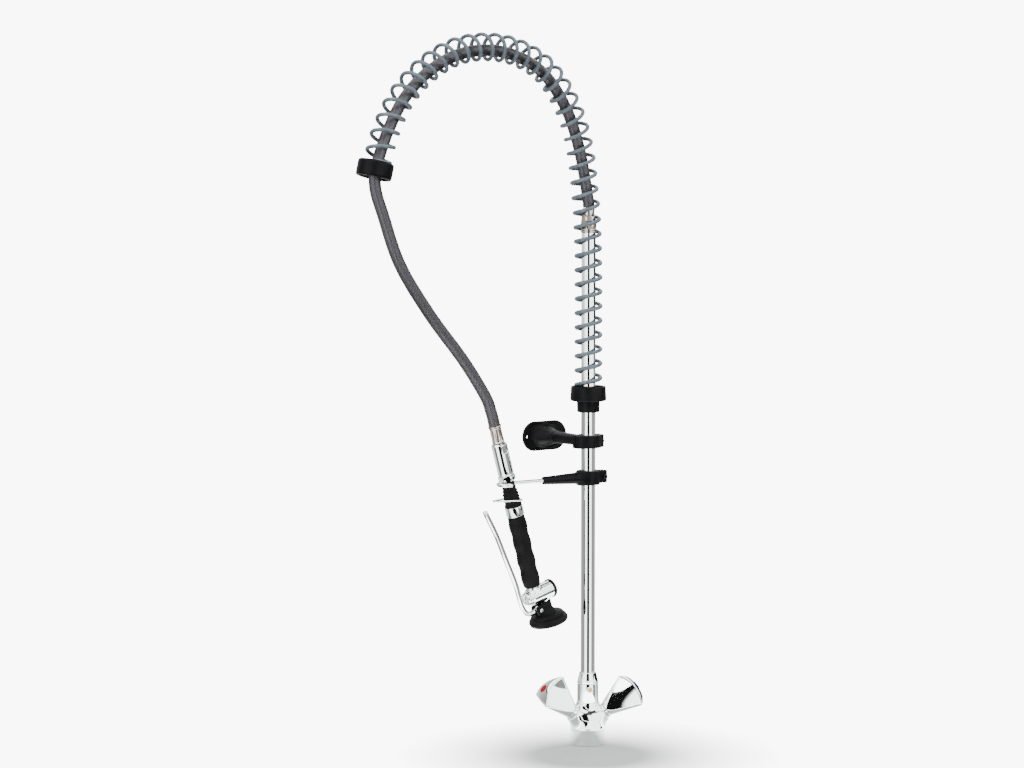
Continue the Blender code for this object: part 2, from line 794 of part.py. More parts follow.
def build_gun(gun):
    """Every height is below the gun's hose end, so it is negative."""
    across = (math.radians(90), 0, 0)

    def piece(name, profile, material, sides=SIDES):
        return turned(name, profile, material, sides, parent=gun)

    ferrule = [
        (0.0098, 0.0),
        (0.0101, -0.0016),
        (0.0096, -0.0032),
        (0.0090, -0.0040),
        (0.0092, -0.0240),
        (0.0080, -0.0280),
        (0.0045, -0.0280),
        (0.0045, 0.0),
    ]
    piece("gun_ferrule", ferrule, nickel)
    sleeve = [
        (0.0100, -0.0283),
        (0.0121, -0.0300),
        (0.0121, -0.0797),
        (0.0073, -0.0797),
        (0.0073, -0.0580),
        (0.0045, -0.0580),
        (0.0045, -0.0283),
    ]
    body = piece("swivel_sleeve", sleeve, chrome)
    for i, side in enumerate((-1, 1)):
        low, high = sorted((side * 0.0110, side * 0.0140))
        cut(body, block(f"sleeve_flat_{i}", (-0.02, low, -0.0440), (0.02, high, -0.0320), parent=gun))
    stem = [
        (0.0069, -0.0583),
        (0.0069, -0.0640),
        (0.0051, -0.0640),
        (0.0051, -0.0680),
        (0.0069, -0.0680),
        (0.0069, -0.1000),
        (0.0045, -0.1000),
        (0.0045, -0.0583),
    ]
    piece("swivel_stem", stem, brass, 16)
    ring = arc_points((0, 0, -0.0660), 0.0062, 0, 2 * math.pi, 16)[:-1]
    swept("swivel_o_ring", ring, 0.00075, 6, rubber, closed=True, parent=gun)
    lock_ring = rod("lock_ring", 0.0133, -0.0880, -0.0801, chrome, 6, parent=gun)
    cut(lock_ring, rod("lock_ring_bore", 0.0072, -0.1, -0.07, parent=gun))
    neck = [
        (0.0098, -0.0883),
        (0.0098, -0.0975),
        (0.0123, -0.1120),
        (0.0123, -0.1265),
        (0.0132, -0.1275),
        (0.0132, -0.1298),
        (0.0073, -0.1298),
        (0.0073, -0.0883),
    ]
    piece("neck_collar", neck, rubber)
    tube("chrome_band", 0.0137, 0.0073, -0.1449, -0.1301, chrome, parent=gun)
    grip = [
        (0.0130, -0.1452),
        (0.0137, -0.1480),
        (0.0139, -0.1620),
        (0.0133, -0.1760),
        (0.0141, -0.1900),
        (0.0134, -0.2040),
        (0.0142, -0.2180),
        (0.0135, -0.2320),
        (0.0140, -0.2480),
        (0.0136, -0.2595),
        (0.0126, -0.2613),
        (0.0073, -0.2613),
        (0.0073, -0.1452),
    ]
    piece("grip", grip, rubber)
    tube("gun_tube", 0.0069, 0.0050, -0.2625, -0.1003, brass, 16, parent=gun)
    build_valve(gun)
    build_lever(gun)
    build_bail(gun)
    build_spray_head(gun, across)


def build_valve(gun):
    """The valve lies across the gun; its local Z is the gun's +X."""
    axis = {"parent": gun, "location": (0, 0, -VALVE_DEPTH), "rotation": (0, math.radians(90), 0)}
    body = rod("valve_body", VALVE_RADIUS, VALVE_LEFT, VALVE_RIGHT, chrome, **axis)
    join(
        body,
        rod("valve_neck", 0.0095, -VALVE_DEPTH, -0.2616, parent=gun),
        rod("valve_outlet", 0.0085, -0.2925, -VALVE_DEPTH, parent=gun, location=(SPRAY_OFFSET, 0, 0)),
    )
    seal_place = VALVE_LEFT + 0.0036
    bore = [
        (0, VALVE_LEFT - 0.001),
        (0.0064, VALVE_LEFT - 0.001),
        (0.0064, VALVE_LEFT + 0.0050),
        (PLUNGER_RADIUS + CLEARANCE, VALVE_LEFT + 0.0050),
        (PLUNGER_RADIUS + CLEARANCE, -0.0040),
        (0.0090, -0.0040),
        (0.0090, VALVE_RIGHT + 0.001),
        (0, VALVE_RIGHT + 0.001),
    ]
    cut(
        body,
        turned("valve_bore", bore, **axis),
        rod("valve_inlet", 0.0072, -0.2685, -0.2600, parent=gun),
        rod("valve_port", 0.0048, -0.2770, -0.2600, parent=gun),
        rod("spray_port", 0.0050, -0.2940, -0.2765, sides=10, parent=gun, location=(SPRAY_OFFSET, 0, 0)),
    )
    cap = [
        (0, VALVE_RIGHT - 0.0060),
        (0.0085, VALVE_RIGHT - 0.0060),
        (0.0085, VALVE_RIGHT + GAP),
        (0.0145, VALVE_RIGHT + GAP),
        (0.0145, VALVE_RIGHT + 0.0042),
        (0.0130, VALVE_RIGHT + 0.0055),
        (0, VALVE_RIGHT + 0.0055),
    ]
    turned("valve_cap", cap, plastic, **axis)
    nut_end = VALVE_LEFT - 0.0048
    nut = [
        (0.0086, nut_end),
        (0.0105, nut_end + 0.0018),
        (0.0105, VALVE_LEFT - GAP),
        (0.0061, VALVE_LEFT - GAP),
        (0.0061, VALVE_LEFT + 0.0024),
        (PLUNGER_RADIUS + CLEARANCE, VALVE_LEFT + 0.0024),
        (PLUNGER_RADIUS + CLEARANCE, nut_end),
    ]
    turned("packing_nut", nut, chrome, **axis)
    middle = (0.0064 + PLUNGER_RADIUS) / 2
    ring = arc_points((0, 0, seal_place), middle, 0, 2 * math.pi, 14)[:-1]
    swept("plunger_seal", ring, 0.00095, 6, rubber, closed=True, **axis)
    plunger = [
        (0, -0.0237),
        (0.0018, -0.0233),
        (PLUNGER_RADIUS, -0.0222),
        (PLUNGER_RADIUS, 0.0040),
        (0.0064, 0.0040),
        (0.0064, 0.0070),
        (0, 0.0070),
    ]
    turned("plunger", plunger, chrome, 10, **axis)
    rod("valve_disc", 0.0072, 0.0073, 0.0098, rubber, 10, **axis)
    coils, start, end = 6, 0.0108, 0.0233
    points = []
    for i in range(coils * 9 + 1):
        angle = 2 * math.pi * i / 9
        height = start + (end - start) * i / (coils * 9)
        points.append((0.0055 * math.cos(angle), 0.0055 * math.sin(angle), height))
    swept("valve_spring", points, 0.0006, 4, nickel, **axis)


def build_lever(gun):
    x, z = PIVOT
    place = {"parent": gun, "location": (x, 0, z)}
    across = (math.radians(90), 0, 0)
    route = [(a - x, 0.0, b - z) for a, b in LEVER_ROUTE]
    lever = swept("lever", smooth_route(route, 0.009), LEVER_RADIUS, 8, chrome, **place)
    eye = rod("lever_eye", 0.0062, -LEVER_RADIUS, LEVER_RADIUS, sides=12, rotation=across, **place)
    hole = rod("lever_hole", 0.0034, -0.01, 0.01, sides=SMALL_SIDES, rotation=across, **place)
    join(lever, eye)
    cut(lever, hole)
    rod("pivot_pin", 0.0030, -0.0098, 0.0098, chrome, SMALL_SIDES, rotation=across, **place)


def build_bail(gun):
    """A wire ring that is level at rest: a half circle round the neck, and a narrow nose at -X."""
    steps = 12
    opening = math.radians(118)
    points = arc_points((0, 0, 0), BAIL_RADIUS, -opening, opening, steps)
    centre = (-BAIL_NOSE + BAIL_NOSE_RADIUS, 0, 0)
    first, last = math.radians(112), math.radians(248)
    points += arc_points(centre, BAIL_NOSE_RADIUS, first, last, 6)
    place = {"parent": gun, "location": (0, 0, -BAIL_DEPTH), "rotation": (0, -GUN_TILT, 0)}
    swept("hold_open_ring", points, BAIL_WIRE, 6, chrome, closed=True, **place)


def build_spray_head(gun, across):
    """A rubber bell under the valve's outlet, with two lugs for the lever's pin."""
    axis = {"parent": gun, "location": (SPRAY_OFFSET, 0, 0)}
    bell = [
        (0.0102, -0.2910),
        (0.0104, -0.3030),
        (0.0150, -0.3100),
        (0.0255, -0.3150),
        (0.0290, -0.3180),
        (SPRAY_RADIUS, -0.3225),
        (0.0280, -0.3268),
        (0.0235, -0.3280),
        (0.0215, -0.3270),
        (0.0215, -0.3165),
        (0.0060, -0.3120),
        (0.0060, -0.2960),
        (0.0089, -0.2960),
        (0.0089, -0.2910),
    ]
    head = turned("spray_head", bell, rubber, WIDE_SIDES, **axis)
    x, z = PIVOT
    lug = block("lugs", (x - 0.0062, -0.0090, z - 0.0075), (0.0120, 0.0090, z + 0.0075), parent=gun)
    slot_half = LEVER_RADIUS + CLEARANCE
    slot = ((x - 0.02, -slot_half, z - 0.02), (x + 0.0070, slot_half, z + 0.02))
    cut(lug, block("lug_slot", *slot, parent=gun))
    cut(lug, rod("lug_bore", 0.0060, -0.3200, -0.2900, **axis))
    join(head, lug)
    pivot = {"parent": gun, "location": (x, 0, z), "rotation": across}
    pin_hole = rod("pin_hole", 0.0034, -0.012, 0.012, sides=SMALL_SIDES, **pivot)
    cut(head, pin_hole, rod("lever_sweep", 0.0068, -slot_half, slot_half, sides=12, **pivot))

    plate = rod("spray_plate", 0.0211, -0.3190, -0.3170, chrome, **axis)
    for i in range(8):
        angle = 2 * math.pi * i / 8
        at = (SPRAY_OFFSET + 0.0125 * math.cos(angle), 0.0125 * math.sin(angle), 0)
        cut(plate, rod(f"jet_{i}", 0.0012, -0.330, -0.310, sides=6, parent=gun, location=at))
    cut(plate, rod("plate_screw_hole", 0.0019, -0.330, -0.310, sides=SMALL_SIDES, **axis))
    flip = (math.radians(180), 0, 0)
    place = {"parent": gun, "location": (SPRAY_OFFSET, 0, -0.3190 - GAP), "rotation": flip}
    screw("spray_plate_screw", 0.0034, 0.0018, 0.0015, 0.0040, nickel, **place)


def build():
    clear_scene()
    mixer = frame_at("mixer_frame", (0, 0, 0), yaw=MIXER_YAW)
    arms = {
        "hot": frame_at("hot_arm_axis", (0, 0, ARM_HEIGHT), -ARM_TILT, ARM_LEAN, mixer),
        "cold": frame_at("cold_arm_axis", (0, 0, ARM_HEIGHT), ARM_TILT, -ARM_LEAN, mixer),
    }
    build_mixer(mixer, arms)
    for side, arm in arms.items():
        build_handle(side, arm)
    build_riser()
    build_spring()
    build_hose()
    build_bracket()
    build_hook()
    build_gun(frame_at("gun_frame", GUN_TOP, tilt=GUN_TILT))
    bpy.context.view_layer.update()


build()
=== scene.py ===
"""The looks of a deck-mounted pre rinse faucet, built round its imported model.

Metres, +Z up. Each visible piece is a fine mesh that stands for its plain CAD node and rides on the
same body. Turned pieces are lathed from a profile, wires and tubes are swept along a line, and
castings and mouldings are the zero surface of a distance function, so that their shapes flow together.
"""

import json
import math

import bpy
import numpy as np
from mathutils import Matrix, Vector


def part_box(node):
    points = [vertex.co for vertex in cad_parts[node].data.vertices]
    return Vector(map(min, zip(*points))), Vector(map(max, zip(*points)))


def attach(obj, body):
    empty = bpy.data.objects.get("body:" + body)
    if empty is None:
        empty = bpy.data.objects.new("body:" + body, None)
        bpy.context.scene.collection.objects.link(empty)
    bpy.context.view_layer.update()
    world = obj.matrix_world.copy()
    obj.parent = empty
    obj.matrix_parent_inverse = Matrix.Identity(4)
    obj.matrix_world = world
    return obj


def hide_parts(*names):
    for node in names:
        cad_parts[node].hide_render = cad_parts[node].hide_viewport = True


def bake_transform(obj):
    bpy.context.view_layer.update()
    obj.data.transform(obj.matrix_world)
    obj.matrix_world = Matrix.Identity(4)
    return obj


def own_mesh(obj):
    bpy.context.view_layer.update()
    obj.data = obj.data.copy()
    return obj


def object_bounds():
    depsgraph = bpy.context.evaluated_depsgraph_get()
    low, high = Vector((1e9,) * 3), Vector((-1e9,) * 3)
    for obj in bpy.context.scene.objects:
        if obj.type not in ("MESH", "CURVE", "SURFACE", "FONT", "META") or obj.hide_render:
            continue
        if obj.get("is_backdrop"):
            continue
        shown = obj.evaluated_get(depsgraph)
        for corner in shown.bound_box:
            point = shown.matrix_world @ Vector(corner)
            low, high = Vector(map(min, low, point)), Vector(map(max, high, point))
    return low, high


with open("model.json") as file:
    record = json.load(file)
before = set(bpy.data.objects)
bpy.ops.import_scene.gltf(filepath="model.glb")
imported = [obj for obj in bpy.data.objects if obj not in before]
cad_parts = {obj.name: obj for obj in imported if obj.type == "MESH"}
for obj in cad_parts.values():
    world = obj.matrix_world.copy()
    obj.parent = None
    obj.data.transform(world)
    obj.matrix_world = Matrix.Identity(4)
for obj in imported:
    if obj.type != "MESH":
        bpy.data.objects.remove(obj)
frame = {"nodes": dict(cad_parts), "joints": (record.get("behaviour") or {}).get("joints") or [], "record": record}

cad_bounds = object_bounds()

# View
CAMERA_AZIMUTH = math.radians(-38)
CAMERA_ELEVATION = math.radians(5)
CAMERA_DISTANCE = 5.0
CAMERA_TARGET = Vector((-0.0926, 0.0724, 0.5610))
CAMERA_LENS = 114.14

# Shared sizes
GAP = 0.0003
RISER_RADIUS = 0.011
RISER_BORE = RISER_RADIUS + 0.0004
GUN_BORE = 0.0073
HOSE_RADIUS = 0.0090
WIRE_RADIUS = 0.003
SPRING_RADIUS = 0.019
CLAMP_RADIUS = 0.0178
ROUTE_STEP = 0.002
TURN = 2 * math.pi
SHARP_ANGLE = math.radians(38)
SMOOTHING_ROUNDS = 3

# The hose's route and the spring's centreline, as (x, z) in the plane y = 0
HOSE_ROUTE = [
    (0.0, 0.8333), (-0.0022, 0.850), (-0.0185, 0.921), (-0.0450, 0.984), (-0.0875, 1.0355),
    (-0.1415, 1.0625), (-0.200, 1.0705), (-0.2585, 1.061), (-0.3110, 1.034), (-0.3515, 0.996),
    (-0.3795, 0.950), (-0.3960, 0.911), (-0.4020, 0.893), (-0.4012, 0.866), (-0.3881, 0.8295),
    (-0.3577, 0.7556), (-0.3031, 0.6798), (-0.2420, 0.6100), (-0.2010, 0.5545), (-0.1895, 0.5300),
    (-0.18278, 0.50839),
]
SPRING_ROUTE = [
    (0.0, 0.5478), (0.0, 0.620), (0.0, 0.700), (-0.0008, 0.765), (-0.0030, 0.8105),
    (-0.0062, 0.845), (-0.0175, 0.923), (-0.0425, 0.988), (-0.085, 1.040), (-0.140, 1.0675),
    (-0.200, 1.0756), (-0.260, 1.066), (-0.3135, 1.038), (-0.355, 0.999), (-0.3825, 0.952),
    (-0.3960, 0.914), (-0.4007, 0.9013),
]


# Frames


def joint(name):
    return next(j for j in frame["joints"] if j["name"] == name)


def axes(origin, z, y):
    """A frame from its origin, its Z and a direction that its Y lies near."""
    z = Vector(z).normalized()
    x = Vector(y).cross(z).normalized()
    y = z.cross(x)
    result = Matrix((x, y, z)).transposed().to_4x4()
    result.translation = Vector(origin)
    return result


def shift(x=0.0, y=0.0, z=0.0):
    return Matrix.Translation((x, y, z))


WORLD = Matrix.Identity(4)
GUN = axes(joint("spray_swivel")["pos_m"], joint("spray_swivel")["axis"], (0, 1, 0))
ARMS = {}
for side in ("hot", "cold"):
    turning = joint(side + "_handle_turn")
    away = Vector(turning["axis"])
    across = Vector((away.y, -away.x, 0)) * (1 if side == "hot" else -1)
    ARMS[side] = axes(turning["pos_m"], away, across)
MIXER = axes((0, 0, 0), (0, 0, 1), sum((arm.to_3x3().col[1] for arm in ARMS.values()), Vector()))
ACROSS = Matrix.Rotation(math.pi / 2, 4, "X")
SIDEWAYS = Matrix.Rotation(math.pi / 2, 4, "Y")


# Materials


class Nodes:
    """Short calls for the nodes of one material or of the world."""

    def __init__(self, owner):
        self.owner = owner
        owner.use_nodes = True
        self.tree = owner.node_tree
        self.shader = self.tree.nodes.get("Principled BSDF")

    def set(self, **values):
        for key, value in values.items():
            socket = self.shader.inputs[key.replace("_", " ")]
            socket.default_value = (*value, 1.0) if isinstance(value, tuple) else value

    def add(self, kind, **values):
        node = self.tree.nodes.new(kind)
        for key, value in values.items():
            setattr(node, key, value)
        return node

    def link(self, source, target):
        self.tree.links.new(source, target)

    def place(self, stretch=(1, 1, 1)):
        where = self.add("ShaderNodeTexCoord")
        mapping = self.add("ShaderNodeMapping")
        mapping.inputs["Scale"].default_value = stretch
        self.link(where.outputs["Object"], mapping.inputs["Vector"])
        return mapping.outputs["Vector"]

    def noise(self, scale, detail=4.0, roughness=0.55, stretch=(1, 1, 1)):
        node = self.add("ShaderNodeTexNoise")
        node.inputs["Scale"].default_value = scale
        node.inputs["Detail"].default_value = detail
        node.inputs["Roughness"].default_value = roughness
        self.link(self.place(stretch), node.inputs["Vector"])
        return node.outputs["Fac"]

    def spread(self, fac, low, high, start=0.3, end=0.7):
        """A number that runs from low to high as fac runs from start to end."""
        node = self.add("ShaderNodeMapRange")
        for key, value in (("From Min", start), ("From Max", end), ("To Min", low), ("To Max", high)):
            node.inputs[key].default_value = value
        self.link(fac, node.inputs["Value"])
        return node.outputs["Result"]

    def ramp(self, fac, *stops):
        node = self.add("ShaderNodeValToRGB")
        elements = node.color_ramp.elements
        while len(elements) < len(stops):
            elements.new(0.5)
        while len(elements) > len(stops):
            elements.remove(elements[-1])
        for element, (position, colour) in zip(elements, stops):
            element.position = position
            element.color = (*colour, 1.0)
        self.link(fac, node.inputs["Fac"])
        return node.outputs["Color"]

    def math(self, operation, *values):
        node = self.add("ShaderNodeMath", operation=operation)
        for socket, value in zip(node.inputs, values):
            if isinstance(value, (int, float)):
                socket.default_value = value
            else:
                self.link(value, socket)
        return node.outputs["Value"]

    def bump(self, height, strength, distance, below=None):
        node = self.add("ShaderNodeBump")
        node.inputs["Strength"].default_value = strength
        node.inputs["Distance"].default_value = distance
        self.link(height, node.inputs["Height"])
        if below:
            self.link(below, node.inputs["Normal"])
        self.link(node.outputs["Normal"], self.shader.inputs["Normal"])
        return node.outputs["Normal"]


def plated(name, colour, low, high, wear=900.0, ripple=0.00002):
    """Plated metal: a bright coat with faint ripples from the polishing and fine wipe marks."""
    nodes = Nodes(bpy.data.materials.new(name))
    nodes.set(Metallic=1.0)
    smear = nodes.noise(38.0, 3.0)
    light = tuple(min(1.0, c * 1.04) for c in colour)
    nodes.link(nodes.ramp(smear, (0.35, colour), (0.65, light)), nodes.shader.inputs["Base Color"])
    wipes = nodes.noise(wear, 5.0, 0.65, stretch=(1, 1, 0.12))
    mixed = nodes.math("MULTIPLY", wipes, nodes.spread(smear, 0.8, 1.2))
    nodes.link(nodes.spread(mixed, low, high), nodes.shader.inputs["Roughness"])
    nodes.bump(nodes.noise(95.0, 2.0), 0.25, ripple)
    return nodes.owner


def machined(name, colour, rough):
    """Turned metal, with fine tool marks round its axis."""
    nodes = Nodes(bpy.data.materials.new(name))
    nodes.set(Metallic=1.0)
    marks = nodes.noise(1400.0, 3.0, stretch=(0.15, 0.15, 1.0))
    dull = tuple(c * 0.82 for c in colour)
    nodes.link(nodes.ramp(marks, (0.3, dull), (0.7, colour)), nodes.shader.inputs["Base Color"])
    nodes.link(nodes.spread(marks, rough * 0.75, rough * 1.25), nodes.shader.inputs["Roughness"])
    nodes.bump(marks, 0.2, 0.00003)
    return nodes.owner


def moulded(name, colour, rough, grain, depth):
    """Moulded plastic or rubber: a fine grain, slightly paler where it is rubbed."""
    nodes = Nodes(bpy.data.materials.new(name))
    nodes.set(Specular_IOR_Level=0.05)
    cloud = nodes.noise(60.0, 5.0, 0.6)
    rubbed = tuple(c * 1.8 + 0.001 for c in colour)
    nodes.link(nodes.ramp(cloud, (0.35, colour), (0.80, rubbed)), nodes.shader.inputs["Base Color"])
    nodes.link(nodes.spread(cloud, rough * 0.85, rough * 1.2), nodes.shader.inputs["Roughness"])
    pits = nodes.add("ShaderNodeTexVoronoi")
    pits.inputs["Scale"].default_value = grain
    nodes.link(nodes.place(), pits.inputs["Vector"])
    fine = nodes.bump(pits.outputs["Distance"], 0.35, depth)
    nodes.bump(nodes.noise(220.0, 3.0), 0.2, depth * 2.0, below=fine)
    return nodes.owner


def coated(name):
    """The spring's coating: slate blue-grey, with the slight orange peel of a dipped coat."""
    nodes = Nodes(bpy.data.materials.new(name))
    nodes.set(Coat_Weight=0.12, Coat_Roughness=0.22, Specular_IOR_Level=0.25)
    cloud = nodes.noise(120.0, 5.0, 0.6)
    colours = (0.30, (0.038, 0.051, 0.062)), (0.72, (0.070, 0.090, 0.106))
    nodes.link(nodes.ramp(cloud, *colours), nodes.shader.inputs["Base Color"])
    nodes.link(nodes.spread(cloud, 0.30, 0.50), nodes.shader.inputs["Roughness"])
    nodes.bump(nodes.noise(700.0, 3.0), 0.35, 0.00012)
    return nodes.owner


def braided(name, strands=22, wraps=11.0):
    """A woven cover over a hose, its colour darkened towards the strands' edges and the sunken strands as painted
    shade. U runs once round it, and V once for each round's length along it.
    """
    nodes = Nodes(bpy.data.materials.new(name))
    nodes.set(Metallic=0.80, Specular_IOR_Level=0.4)
    where = nodes.add("ShaderNodeTexCoord")
    split = nodes.add("ShaderNodeSeparateXYZ")
    nodes.link(where.outputs["UV"], split.inputs["Vector"])
    round_it = nodes.math("MULTIPLY", split.outputs["X"], float(strands))
    along = nodes.math("MULTIPLY", split.outputs["Y"], wraps)
    ridges, whole = [], []
    for operation in ("ADD", "SUBTRACT"):
        phase = nodes.math(operation, round_it, along)
        share = nodes.math("FRACT", phase)
        ridges.append(nodes.math("SINE", nodes.math("MULTIPLY", share, math.pi)))
        whole.append(nodes.math("FLOOR", phase))
    parity = nodes.math("PINGPONG", nodes.math("ADD", *whole), 1.0)
    other = nodes.math("SUBTRACT", 1.0, parity)
    over = nodes.math("MULTIPLY", ridges[0], nodes.math("MULTIPLY_ADD", parity, 0.5, 0.5))
    under = nodes.math("MULTIPLY", ridges[1], nodes.math("MULTIPLY_ADD", other, 0.5, 0.5))
    height = nodes.math("MAXIMUM", over, under)
    threads = nodes.noise(2600.0, 2.0)
    # Colour follows the weave's height: painted shade darkens the strands' edges and the strands that pass under,
    # with a random tone per thread on top.
    shade = nodes.math("MULTIPLY", height, nodes.spread(threads, 0.82, 1.12))
    stops = (0.10, (0.006, 0.006, 0.007)), (0.55, (0.032, 0.031, 0.034)), (0.95, (0.100, 0.097, 0.106))
    nodes.link(nodes.ramp(shade, *stops), nodes.shader.inputs["Base Color"])
    nodes.link(nodes.spread(shade, 0.60, 0.32, 0.1, 0.9), nodes.shader.inputs["Roughness"])
    nodes.bump(height, 0.55, 0.0004)
    return nodes.owner


def enamel(name, colour):
    """The inlaid colour mark in a handle."""
    nodes = Nodes(bpy.data.materials.new(name))
    nodes.set(Specular_IOR_Level=0.05)
    cloud = nodes.noise(300.0, 3.0)
    deep = tuple(c * 0.8 for c in colour)
    nodes.link(nodes.ramp(cloud, (0.3, deep), (0.7, colour)), nodes.shader.inputs["Base Color"])
    nodes.link(nodes.spread(cloud, 0.25, 0.40), nodes.shader.inputs["Roughness"])
    nodes.bump(cloud, 0.1, 0.00005)
    return nodes.owner


MATERIALS = {
    "chrome": plated("chrome", (0.77, 0.84, 0.805), 0.015, 0.050),
    "brass": machined("brass", (0.42, 0.33, 0.13), 0.22),
    "nickel": plated("nickel", (0.40, 0.35, 0.31), 0.10, 0.20, wear=1500.0, ripple=0.00004),
    "black_steel": machined("black_steel", (0.020, 0.020, 0.022), 0.34),
    "black_plastic": moulded("black_plastic", (0.0020, 0.0020, 0.0023), 0.34, 3200.0, 0.00004),
    "black_rubber": moulded("black_rubber", (0.0022, 0.0022, 0.0024), 0.50, 2400.0, 0.00008),
    "spring_coating": coated("spring_coating"),
    "hose_braid": braided("hose_braid"),
    "hot_mark": enamel("hot_mark", (0.17, 0.0003, 0.005)),
    "cold_mark": enamel("cold_mark", (0.002, 0.010, 0.120)),
}


# Making pieces

BODY_OF = {}
for record_body, members in frame["record"]["behaviour"]["bodies"].items():
    for member in members:
        BODY_OF[member] = record_body
SLOT_OF = {part["node"]: part["material_slot"] for part in frame["record"]["subparts"]}


def made(node, points, faces, place=WORLD, body=None, name=None):
    """The fine piece that stands for a CAD node, with that node's body and finish."""
    mesh = bpy.data.meshes.new(node)
    mesh.from_pydata([tuple(p) for p in points], [], [tuple(f) for f in faces])
    mesh.update()
    piece = bpy.data.objects.new(name or "fine_" + node, mesh)
    bpy.context.scene.collection.objects.link(piece)
    piece.matrix_world = place
    mesh.shade_smooth()
    mesh.set_sharp_from_angle(angle=SHARP_ANGLE)
    mesh.materials.append(MATERIALS[SLOT_OF[node]])
    if body is None:
        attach(piece, BODY_OF[node])
    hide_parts(node)
    return piece


def filleted(profile, closed, steps=5):
    """The profile's points, each (r, z) or (r, z, fillet); a fillet rounds its corner."""
    count = len(profile)
    result = []
    for i, (r, z, *fillet) in enumerate(profile):
        here = np.array((r, z))
        if not fillet or (not closed and i in (0, count - 1)):
            result.append((r, z))
            continue
        back = np.array(profile[i - 1][:2]) - here
        ahead = np.array(profile[(i + 1) % count][:2]) - here
        back_length, ahead_length = np.linalg.norm(back), np.linalg.norm(ahead)
        back, ahead = back / back_length, ahead / ahead_length
        half = math.acos(np.clip(back @ ahead, -1, 1)) / 2
        reach = min(fillet[0] / math.tan(half), 0.49 * back_length, 0.49 * ahead_length)
        start, end = here + back * reach, here + ahead * reach
        for k in range(steps + 1):
            t = k / steps
            result.append(tuple((1 - t) ** 2 * start + 2 * t * (1 - t) * here + t**2 * end))
    return result


def lathe(node, profile, place=WORLD, sides=64, reach=None, **more):
    """A turned piece round Z. reach(r, z, angle) may pull a point in, as a flat or a flute does."""
    closed = profile[0][0] > 0
    outline = filleted(profile, closed)
    points, rings = [], []
    for r, z in outline:
        if r < 1e-7:
            rings.append([len(points)])
            points.append((0, 0, z))
            continue
        ring = []
        for i in range(sides):
            angle = TURN * i / sides
            out = reach(r, z, angle) if reach else r
            ring.append(len(points))
            points.append((out * math.cos(angle), out * math.sin(angle), z))
        rings.append(ring)
    if closed:
        rings.append(rings[0])
    faces = []
    for low, high in zip(rings, rings[1:]):
        for i in range(sides):
            j = (i + 1) % sides
            corners = (low[i % len(low)], low[j % len(low)], high[j % len(high)], high[i % len(high)])
            faces.append(tuple(dict.fromkeys(corners)))
    area = sum(a[0] * b[1] - b[0] * a[1] for a, b in zip(outline, outline[1:] + outline[:1]))
    if area < 0:
        faces = [face[::-1] for face in faces]
    return made(node, points, faces, place, **more)


def hexagon(half):
    """A reach that keeps a turned piece inside a hexagon of that half width."""

    def reach(r, z, angle):
        return min(r, half / math.cos((angle + math.pi / 6) % (math.pi / 3) - math.pi / 6))

    return reach


def smooth_route(points, step):
    """Points about step apart along the Catmull-Rom curve through the given ones."""
    path = [Vector(p) for p in points]
    ends = [path[0] * 2 - path[1], *path, path[-1] * 2 - path[-2]]
    fine = []
    for a, b, c, d in zip(ends, ends[1:], ends[2:], ends[3:]):
        for i in range(24):
            t = i / 24
            fine.append(
                0.5 * ((2 * b) + (c - a) * t + (2 * a - 5 * b + 4 * c - d) * t**2)
                + 0.5 * (3 * b - a - 3 * c + d) * t**3
            )
    fine.append(path[-1])
    reach = [0.0]
    for a, b in zip(fine, fine[1:]):
        reach.append(reach[-1] + (b - a).length)
    count = max(2, round(reach[-1] / step))
    result, k = [], 0
    for i in range(count + 1):
        want = reach[-1] * i / count
        while k < len(fine) - 2 and reach[k + 1] < want:
            k += 1
        result.append(fine[k].lerp(fine[k + 1], (want - reach[k]) / (reach[k + 1] - reach[k])))
    return result


def sweep(node, path, radius, sides, place=WORLD, closed=False, tips=(0.0, 0.0), unwrap=False, **more):
    """A round bar along the path. A tip rounds its end off over that length."""
    path = [Vector(p) for p in path]
    steps = 6
    quarter = [math.pi / 2 * k / steps for k in range(steps)]
    for tip, order in zip(tips, (1, -1)):
        if tip:
            line = path[::order]
            start, along = line[0], (line[1] - line[0]).normalized()
            rounded = [start + along * tip * (1 - math.cos(angle)) for angle in quarter]
            keep = [p for p in line if (p - start).dot(along) > tip or (p - start).length > 2 * tip]
            path = (rounded + keep)[::order]
    count = len(path)
    sizes = [radius] * count
    grown = [radius * math.sin(angle) + 1e-6 for angle in quarter]
    if tips[0]:
        sizes[:steps] = grown
    if tips[1]:
        sizes[-steps:] = grown[::-1]
    points, coordinates, side = [], [], None
    travelled = 0.0
    for i, point in enumerate(path):
        after = path[(i + 1) % count] if closed or i < count - 1 else point
        before = path[i - 1] if closed or i > 0 else point
        along = (after - before).normalized()
        side = along.orthogonal() if side is None else side
        side = (side - along * side.dot(along)).normalized()
        other = along.cross(side)
        travelled += (point - path[i - 1]).length if i else 0.0
        coordinates.append(travelled)
        for k in range(sides):
            angle = TURN * k / sides
            points.append(point + sizes[i] * (side * math.cos(angle) + other * math.sin(angle)))
    faces = []
    for i in range(count if closed else count - 1):
        for k in range(sides):
            j = (k + 1) % sides
            a, b = i * sides, (i + 1) % count * sides
            faces.append((a + k, a + j, b + j, b + k))
    if not closed:
        faces.append(tuple(range(sides))[::-1])
        faces.append(tuple(range((count - 1) * sides, count * sides)))
    piece = made(node, points, faces, place, **more)
    if unwrap:
        layer = piece.data.uv_layers.new(name="along")
        girth = TURN * radius
        for polygon in piece.data.polygons:
            if len(polygon.loop_indices) != 4:
                continue
            seam = max(v % sides for v in polygon.vertices) == sides - 1
            for loop in polygon.loop_indices:
                vertex = piece.data.loops[loop].vertex_index
                k = vertex % sides
                if seam and k == 0:
                    k = sides
                layer.data[loop].uv = (k / sides, coordinates[vertex // sides] / girth)
    return piece


# Distance functions: each takes points as rows and gives how far outside the shape each one is


